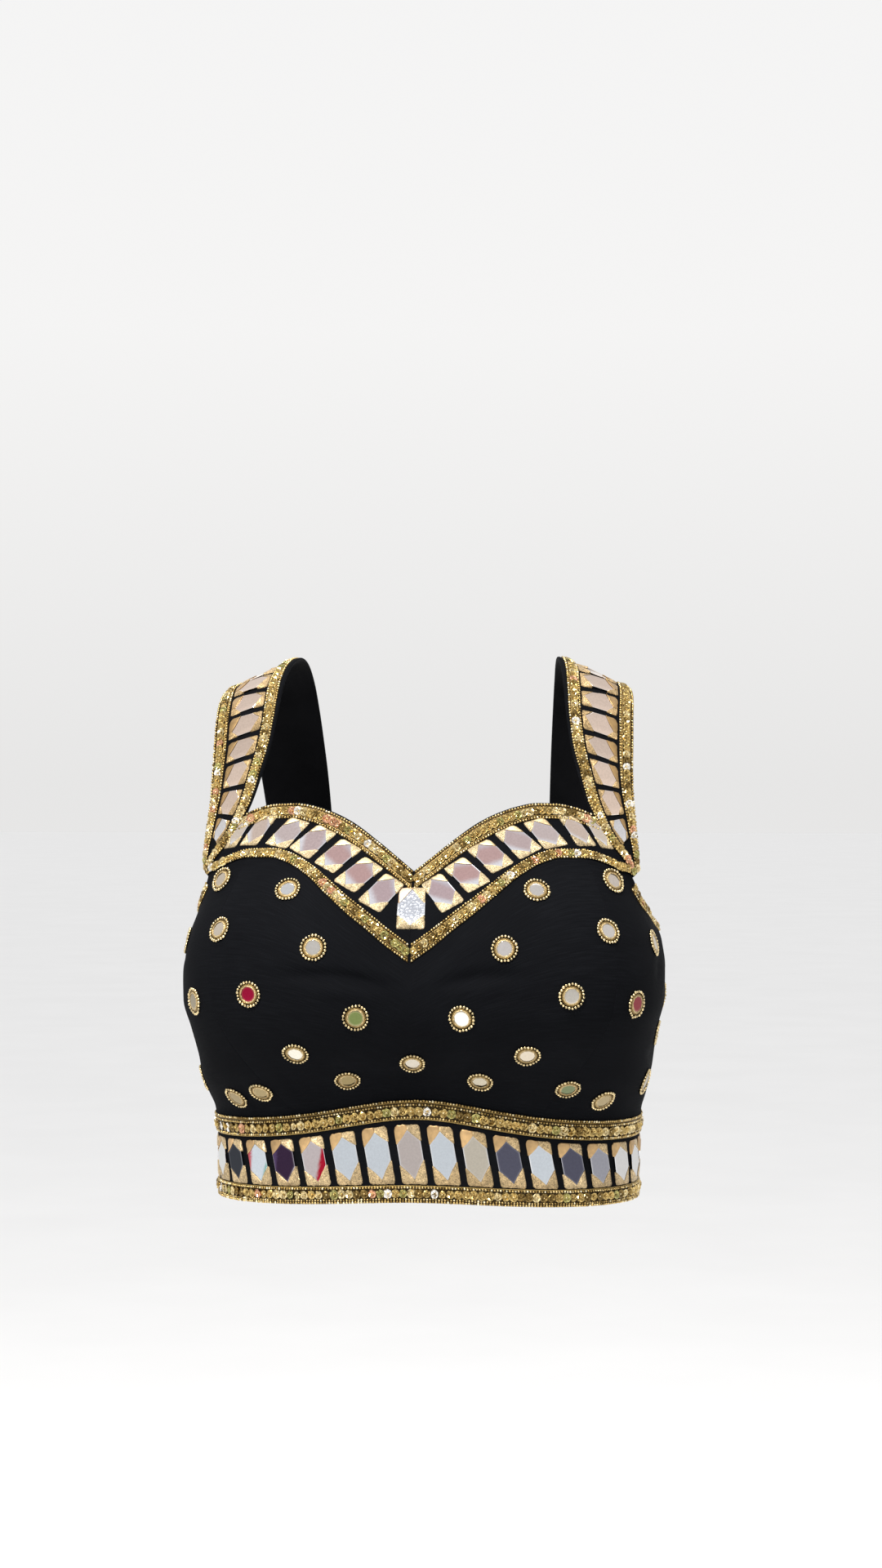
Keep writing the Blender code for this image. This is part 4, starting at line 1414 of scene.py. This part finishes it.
for k, (tag, mirror) in enumerate((("R", 1.0), ("L", -1.0))):
    rng = np.random.default_rng(61 + k)
    gold, glass = Build(), Build()
    flip = np.array([-mirror, 1.0, 1.0])
    for n, (low_bar, high_bar) in enumerate(zip(bars[:-1], bars[1:])):
        low_out, low_in = (turn_shift(low_bar[0], 0.9, 1.3), turn_shift(low_bar[1], 0.2, 2.0))
        top_out, top_in = (turn_shift(high_bar[0], 0.9, -1.2), turn_shift(high_bar[1], 0.2, -1.9))
        m = strap_marks((low_out + top_in) / 2)
        gap = 1.2 / ((m[2] - m[1]) * m[3])
        corners = ((gap, top_out), (1 - gap, top_in), (1 - gap, low_in), (gap, low_out))
        shape, own = HEX_STRAP, (0, 1)
        if mirror < 0:
            corners = (corners[1], corners[0], corners[3], corners[2])
            shape, own = mirrored(HEX_STRAP, LYING), (1, 1)
        # The mirror's core colour and its fade are painted reflections; the rim colour is a
        # painted edge highlight.
        core = np.array(BEIGE) * rng.uniform(0.92, 1.08) if n else np.array(GREY)
        tile(gold, glass, strap_place(flip), corners, shape, LYING, rng,
             mix(np.array(TAN), np.array(CREAM), 0.10), np.array((0.33, 0.21, 0.09)), core,
             np.array((0.84, 0.74, 0.66)), painted_reflection_fade(core * 1.12, core * 0.92, 0.5), own, 1.3)
    gold.finish("tile_patches_strap_" + tag, [PATCH, FOIL], slot="gold_patch")
    glass.finish("tile_mirrors_strap_" + tag, [MIRROR], slot="mirror")

# Tiles of the waist band, all round: millimetres along the middle from the centre front.
WAIST_PITCH, WAIST_FIRST, WAIST_HALF, WAIST_LEAN = 18.84, -59.0, 7.1, 2.6
waist_turns = np.linspace(-180, 180, 1441)
waist_line = on_torso(np.radians(waist_turns), np.full(waist_turns.shape, -298.0))
waist_run = np.append(0, np.cumsum(np.linalg.norm(np.diff(waist_line, axis=0), axis=1)))
waist_run -= np.interp(0, waist_turns, waist_run)


def waist_place(at):
    """at is (millimetres along the middle, share from the lower trim to the upper)."""
    turn = np.radians(np.interp(at[..., 0], waist_run, waist_turns))
    return on_torso(turn, mix(hem(turn) + WAIST_TRIM_LOW, waist_top(turn) - WAIST_TRIM_TOP,
                              at[..., 1]))


# Painted reflections of the waist mirrors: what each one reflects of the room is painted into its
# core and rim colours and its pattern.
WAIST_PAINTED_REFLECTIONS = {
    # place from the first tile: core, rim, paint
    -5: ((0.72, 0.73, 0.72), PALE, None),
    -4: ((0.80, 0.81, 0.79), PALE, None),
    -3: ((0.022, 0.026, 0.036), (0.35, 0.36, 0.40), None),
    -2: ((0.74, 0.80, 0.86), (0.80, 0.84, 0.88),
         painted_reflection_sides((0.62, 0.12, 0.14), None, (0.10, 0.42, 0.34))),
    -1: ((0.050, 0.028, 0.060), (0.40, 0.36, 0.42), painted_reflection_sides((0.11, 0.07, 0.16), None)),
    0: ((0.66, 0.58, 0.58), PALE, painted_reflection_sides(None, (0.50, 0.015, 0.04))),
}
OTHER_PAINTED_REFLECTIONS = [
    ((0.72, 0.71, 0.70), PALE, None), ((0.60, 0.53, 0.50), PALE, None),
    ((0.10, 0.10, 0.14), (0.40, 0.40, 0.44), None),
    ((0.70, 0.75, 0.80), PALE, None), ((0.64, 0.58, 0.48), PALE, None),
    ((0.34, 0.34, 0.38), (0.6, 0.6, 0.62), None),
]
rng = np.random.default_rng(71)
gold, glass = Build(), Build()
waist_mids = [(k, WAIST_FIRST + WAIST_PITCH * k) for k in range(-5, 8)]
for side, mid in ((-1, waist_mids[0][1]), (1, waist_mids[-1][1])):
    # Farther round, the pitch is eased so that the last tile ends at the opening.
    rest = waist_run[-1] - 2.5 - WAIST_HALF - WAIST_LEAN - abs(mid)
    count = int(round(rest / WAIST_PITCH))
    waist_mids += [(99, mid + side * rest * i / count) for i in range(1, count + 1)]
for k, mid in waist_mids:
    top, low = 0.905, 0.035
    corners = ((mid - WAIST_HALF - WAIST_LEAN, top), (mid + WAIST_HALF - WAIST_LEAN, top),
               (mid + WAIST_HALF + WAIST_LEAN, low), (mid - WAIST_HALF + WAIST_LEAN, low))
    core, rim, paint = WAIST_PAINTED_REFLECTIONS.get(k) or OTHER_PAINTED_REFLECTIONS[rng.integers(len(OTHER_PAINTED_REFLECTIONS))]
    tile(gold, glass, waist_place, corners, HEX_WAIST, UPRIGHT, rng,
         mix(np.array(CREAM), np.array(TAN), rng.uniform(0.3, 0.7)),
         np.array((0.46, 0.30, 0.14)) * rng.uniform(0.9, 1.15), core, rim, paint)
gold.finish("tile_patches_waist", [PATCH, FOIL], slot="gold_patch")
glass.finish("tile_mirrors_waist", [MIRROR], slot="mirror")

# ================================================================ round mirrors
RING_R, RING_BEADS, BEAD_D = 6.85, 23, 1.80
# Angle from the centre front, height, and the mirror's tint, a painted reflection; these lie on
# the wearer's right, and most have a fellow on the left.
ROUNDS = [
    (-34.3, -139.2, (0.66, 0.66, 0.66)),
    (-55.3, -134.2, (0.60, 0.52, 0.42)),
    (-47.6, -162.0, (0.64, 0.56, 0.46)),
    (-65.6, -170.4, (0.62, 0.54, 0.40)),
    (-23.8, -170.7, (0.60, 0.57, 0.53)),
    (-37.3, -196.5, (0.40, 0.012, 0.05)),
    (-53.7, -202.6, (0.42, 0.36, 0.25)),
    (-13.8, -208.7, (0.125, 0.155, 0.055)),
    (-31.1, -229.6, (0.60, 0.57, 0.49)),
    (-77.0, -224.0, (0.38, 0.30, 0.16)),
    (-58.3, -260.0, (0.24, 0.185, 0.095)),
    (-48.4, -254.9, (0.26, 0.20, 0.10)),
    (-74.0, -252.0, (0.30, 0.23, 0.11)),
    (-22.4, -246.4, (0.22, 0.17, 0.08)),
]
# The fellows on the left, and one at the centre; their tints are painted reflections too.
ROUNDS_LEFT = [
    (34.3, -139.2, (0.64, 0.60, 0.56)), (55.3, -134.2, (0.62, 0.55, 0.48)),
    (47.6, -162.0, (0.66, 0.62, 0.58)), (65.6, -170.4, (0.60, 0.54, 0.44)),
    (23.8, -170.7, (0.66, 0.62, 0.60)), (37.3, -196.5, (0.62, 0.58, 0.52)),
    (53.7, -202.6, (0.30, 0.06, 0.07)), (13.8, -208.7, (0.66, 0.64, 0.60)),
    (31.1, -229.6, (0.50, 0.44, 0.35)), (77.0, -224.0, (0.42, 0.37, 0.27)),
    (58.3, -259.5, (0.29, 0.23, 0.13)), (46.0, -251.0, (0.13, 0.155, 0.08)),
    (74.0, -252.0, (0.34, 0.28, 0.19)), (22.4, -246.4, (0.40, 0.36, 0.28)),
    (0.0, -235.5, (0.46, 0.42, 0.35)),
]
ROUNDS_BACK = [
    (99, -206), (113, -181), (124, -217), (137, -190), (150, -222), (163, -192),
    (104, -241), (135, -248), (165, -246),
    (-98, -203), (-112, -183), (-125, -214), (-138, -188), (-149, -220), (-163, -190),
    (-105, -243), (-134, -249), (-166, -247),
]


def round_mirror(gold, glass, turn, z, tint, rng):
    t0 = math.radians(turn)
    p0 = on_torso(t0, z)
    per_turn = on_torso(t0 + 0.01, z) - p0
    per_z = on_torso(t0, z + 1.0) - p0
    n0 = normal(p0[None])[0]
    up = unit(np.array([0, 0, 1.0]) - n0 * n0[2])
    across = np.cross(up, n0)
    m = np.array([[per_turn @ across, per_z @ across], [per_turn @ up, per_z @ up]])
    inv = np.linalg.inv(m)

    def spots(r, count, phase=0.0):
        a = np.arange(count) * 2 * math.pi / count + phase
        d = np.stack([np.cos(a) * r, np.sin(a) * r], -1) @ inv.T
        return on_torso(t0 + 0.01 * d[:, 0], z + d[:, 1]), a

    p, a = spots(RING_R, RING_BEADS, rng.uniform(0, 0.3))
    way = -np.sin(a)[:, None] * across + np.cos(a)[:, None] * up
    axes = jitter_axes(axes_at(p, way), rng, 0.08)
    size = BEAD_D / 2 * (1 + rng.normal(0, 0.07, RING_BEADS))
    p = p + axes[:, 1] * rng.normal(0, 0.12, RING_BEADS)[:, None]
    gold.many(BEAD_SHAPE, lift(p, WALL + 0.32 * BEAD_D), axes,
              np.stack([size] * 3, -1), np.array((0.82, 0.655, 0.36)) * rng.uniform(
                  0.50, 1.12, (RING_BEADS, 1)), 0)
    p, _ = spots(5.35, 30)
    tube(gold, lift(p, WALL + 0.52), 0.44, 1, (0.27, 0.175, 0.055), sides=8, closed=True)
    p, _ = spots(5.85, 30)
    tube(gold, lift(p, WALL + 0.18), 0.30, 1, (0.06, 0.04, 0.014), sides=6, closed=True)
    # A foil rim folded over the mirror, its opening a little irregular.
    count = 28
    sides, lean = int(rng.integers(7, 10)), rng.uniform(0, 1)
    a = np.arange(count) * 2 * math.pi / count
    part = math.pi / sides
    open_r = 4.35 * math.cos(part) / np.cos((a + lean) % (2 * part) - part) * (
        1 + rng.normal(0, 0.012, count))
    rows = []
    for share, high in ((0.0, 0.74), (0.0, 1.02), (0.25, 1.10), (0.7, 0.98), (1.0, 0.70),
                        (1.0, 0.30)):
        r = mix(open_r, 5.15, share)
        d = np.stack([np.cos(a) * r, np.sin(a) * r], -1) @ inv.T
        rows.append(lift(on_torso(t0 + 0.01 * d[:, 0], z + d[:, 1]), WALL + high))
    rows = np.stack(rows)
    ids = np.arange(rows.shape[0] * count).reshape(-1, count)
    nxt = np.roll(ids, -1, axis=0)
    quads = np.stack([ids, nxt, np.roll(nxt, -1, 1), np.roll(ids, -1, 1)], -1).reshape(-1, 4)
    if np.cross(rows[2, 0] - rows[1, 0], rows[1, 1] - rows[1, 0]) @ n0 < 0:
        quads = quads[:, ::-1]
    cream = np.broadcast_to(np.array((0.55, 0.41, 0.20)) * rng.uniform(0.8, 1.1),
                            rows.shape).copy()
    # The innermost row, the foil's cut edge over the mirror, is painted dark as shade under the
    # lip.
    cream[0] = (0.06, 0.04, 0.02)
    gold.add(rows, quads=quads, mat=2, tint=cream.reshape(-1, 3), uv=np.stack(
        np.broadcast_arrays(a[None] * 5, np.arange(len(rows))[:, None] * 0.3), -1))
    # The mirror itself: a disc with a slightly falling rim, under the inner ring. Its tint is a
    # painted reflection, and its rim is mixed halfway toward a gold-brown, also a painted
    # reflection.
    count = 24
    plane = unit(n0 + rng.normal(0, 0.02, 3))
    e1 = unit(across - plane * (across @ plane))
    e2 = np.cross(plane, e1)
    base = p0 + n0 * (WALL + 0.75 + float(relief(p0[None])[0]))
    a = np.arange(count) * 2 * math.pi / count
    ring = np.cos(a)[:, None] * e1 + np.sin(a)[:, None] * e2
    core, rim = np.array(tint), mix(np.array(tint), np.array((0.50, 0.41, 0.26)), 0.50)
    levels = [(5.0, -0.62, rim), (4.85, -0.16, rim), (4.25, 0.0, mix(rim, core, 0.5)),
              (3.4, 0.02, core), (1.8, 0.03, core)]
    verts = np.concatenate([base + ring * r + plane * h for r, h, _ in levels]
                           + [(base + plane * 0.03)[None], (base - plane * 0.62)[None]])
    tints = np.concatenate([np.repeat(c[None], count, 0) for _, _, c in levels]
                           + [core[None], rim[None]])
    i = np.arange(count)
    j = (i + 1) % count
    quads = np.concatenate([np.stack([i, j, j + count, i + count], -1) + k * count
                            for k in range(len(levels) - 1)])
    last = (len(levels) - 1) * count
    tris = np.concatenate([
        np.stack([i + last, j + last, np.full(count, last + count)], -1),
        np.stack([j, i, np.full(count, last + count + 1)], -1)])
    glass.add(verts, quads=quads, tris=tris, smooth=True, tint=tints)


# The back's round mirrors take painted reflection tints in turn.
groups = {
    "front_R": ROUNDS, "front_L": ROUNDS_LEFT,
    "back": [(a, z, [(0.62, 0.58, 0.52), (0.66, 0.64, 0.62), (0.58, 0.50, 0.40),
                     (0.24, 0.08, 0.09), (0.22, 0.25, 0.14), (0.68, 0.66, 0.66)][
        (i * 5) % 6]) for i, (a, z) in enumerate(ROUNDS_BACK)],
}
for k, (tag, rows) in enumerate(groups.items()):
    rng = np.random.default_rng(81 + k)
    gold, glass = Build(), Build()
    for a, z, tint in rows:
        round_mirror(gold, glass, a, z, tint, rng)
    gold.finish("round_rings_" + tag, [BEAD, CORD, PATCH], slot="gold_trim")
    glass.finish("round_mirrors_" + tag, [MIRROR], slot="mirror")

# ================================================================ hooks
def plain_tube(mesh, line, r, sides=8):
    """A round wire along a free line."""
    line = np.asarray(line, float)
    way = unit(np.gradient(line, axis=0))
    ref = np.array([0.3, 0.5, 0.81])
    side = unit(np.cross(way, ref))
    up = np.cross(way, side)
    a = np.arange(sides) * 2 * math.pi / sides
    verts = line[:, None] + r * (side[:, None] * np.cos(a)[None, :, None]
                                 + up[:, None] * np.sin(a)[None, :, None])
    ids = np.arange(len(line) * sides).reshape(len(line), sides)
    quads = np.stack([ids[:-1], np.roll(ids[:-1], -1, 1), np.roll(ids[1:], -1, 1),
                      ids[1:]], -1)
    tris = []
    for i in range(1, sides - 1):
        tris += [(0, i + 1, i), (ids[-1, 0], ids[-1, i], ids[-1, i + 1])]
    mesh.add(verts.reshape(-1, 3), quads=quads.reshape(-1, 4), tris=tris)


for k in range(5):
    z0 = HEM_SIDE_Z + 9 + k * (BACK_NECK_Z - HEM_SIDE_Z - 22) / 4 + 2.5
    r_in = float(radius(math.pi, z0)) - 1.15
    mesh = Build()

    def flat(points):
        """Wire drawn as (across, up, out) about the hook's middle."""
        p = np.array(points, float)
        dense = np.linspace(0, len(p) - 1, 8 * (len(p) - 1) + 1)
        c = np.stack([np.interp(dense, np.arange(len(p)), p[:, i]) for i in range(3)], -1)
        for _ in range(3):
            c[1:-1] = (c[:-2] + 2 * c[1:-1] + c[2:]) / 4
        return np.stack([c[:, 0], r_in + c[:, 2], z0 + c[:, 1]], -1)

    for sign in (-1, 1):
        plain_tube(mesh, flat([(0.8, 0.35 * sign, 0.0), (2.0, 0.4 * sign, 0.0),
                               (3.1, 0.9 * sign, 0.0), (3.9, 1.7 * sign, 0.0),
                               (3.2, 2.3 * sign, 0.0), (2.3, 1.8 * sign, 0.0),
                               (2.5, 1.1 * sign, 0.0)]), 0.30)
    plain_tube(mesh, flat([(0.8, 0.35, 0.0), (-1.4, 0.36, 0.1), (-2.2, 0.0, 0.1),
                           (-1.4, -0.36, 0.1), (0.8, -0.35, 0.0)]), 0.30)
    plain_tube(mesh, flat([(-3.9, 2.2, -0.1), (-2.9, 1.9, -0.1), (-1.7, 1.8, -0.2),
                           (-1.3, 0.0, -0.35), (-1.7, -1.8, -0.2), (-2.9, -1.9, -0.1),
                           (-3.9, -2.2, -0.1)]), 0.30)
    mesh.finish(f"wire_hook_{k + 1}", [WIRE], [f"hook_{k + 1}"], "dark_metal")

# ================================================================ the cut's flat sizes, read but not used
FLAT = {
    # piece: width and height as cut, without seam allowance, and its area (m, m2)
    "front_centre": (0.236, 0.150, 0.0310),
    "front_side": (0.120, 0.160, 0.0156),
    "back": (0.190, 0.150, 0.0247),
    "neck_band": (0.200, 0.055, 0.0059),
    "strap": (0.300, 0.060, 0.0126),
    "waist_front": (0.365, 0.062, 0.0191),
    "waist_back": (0.180, 0.055, 0.0094),
    "placket": (0.025, 0.159, 0.0039),
}
for name, (obj, _) in PANELS.items():
    key = name[:-2] if name[-2:] in ("_L", "_R") else name
    w, l, area = FLAT[key]
    min(area, w * l)

# ================================================================ floor and light
bpy.context.scene.view_settings.view_transform = "Standard"


def plane(name, half, z, material):
    me = bpy.data.meshes.new(name)
    me.from_pydata([(-half, -half, z), (half, -half, z), (half, half, z), (-half, half, z)],
                   [], [(0, 1, 2, 3)])
    me.materials.append(material)
    obj = bpy.data.objects.new(name, me)
    bpy.context.scene.collection.objects.link(obj)
    return obj


ground = Nodes("pale_floor", 0.85, Specular_IOR_Level=0.2)
mottle = ground.noise(ground.coordinates((3, 3, 3), uv=False), detail=3.0)
ground.put(ground.ramp(mottle, [(0.3, (0.865, 0.862, 0.855)), (0.7, (0.885, 0.882, 0.875))]),
           "Base Color")
floor = plane("floor", 60.0, -1.15, ground.m)

world = bpy.data.worlds.new("studio")
bpy.context.scene.world = world
world.use_nodes = True
tree = world.node_tree
background = tree.nodes["Background"]
coord = tree.nodes.new("ShaderNodeTexCoord")
split = tree.nodes.new("ShaderNodeSeparateXYZ")
ramp = tree.nodes.new("ShaderNodeValToRGB")
tree.links.new(coord.outputs["Generated"], split.inputs[0])
tree.links.new(split.outputs["Z"], ramp.inputs["Fac"])
ramp.color_ramp.elements[0].position = 0.0
ramp.color_ramp.elements[0].color = (0.84, 0.835, 0.83, 1)
ramp.color_ramp.elements[1].position = 0.9
ramp.color_ramp.elements[1].color = (0.96, 0.965, 0.98, 1)
middle_tone = ramp.color_ramp.elements.new(0.16)
middle_tone.color = (0.96, 0.955, 0.95, 1)
tree.links.new(ramp.outputs["Color"], background.inputs["Color"])
background.inputs["Strength"].default_value = 0.95


def area_light(name, where, at, size, watts, colour=(1, 1, 1)):
    data = bpy.data.lights.new(name, "AREA")
    data.shape = "RECTANGLE"
    data.size, data.size_y = size
    data.energy = watts
    data.color = colour
    obj = bpy.data.objects.new(name, data)
    obj.location = where
    way = np.array(at, float) - np.array(where, float)
    from mathutils import Vector
    obj.rotation_mode = "QUATERNION"
    obj.rotation_quaternion = Vector(way).to_track_quat("-Z", "Y")
    bpy.context.scene.collection.objects.link(obj)
    return obj


area_light("overhead", (0.0, 0.30, 2.1), (0, 0, -0.15), (1.8, 1.5), 20)
area_light("key", (-0.54, -1.70, 2.2), (0, 0, -0.15), (0.4, 0.4), 130, (1.0, 0.98, 0.95))
area_light("rim_left", (-1.6, 1.3, 0.9), (0, 0, -0.15), (1.0, 1.5), 4)
area_light("rim_right", (1.6, 1.4, 1.0), (0, 0, -0.15), (1.0, 1.5), 4)
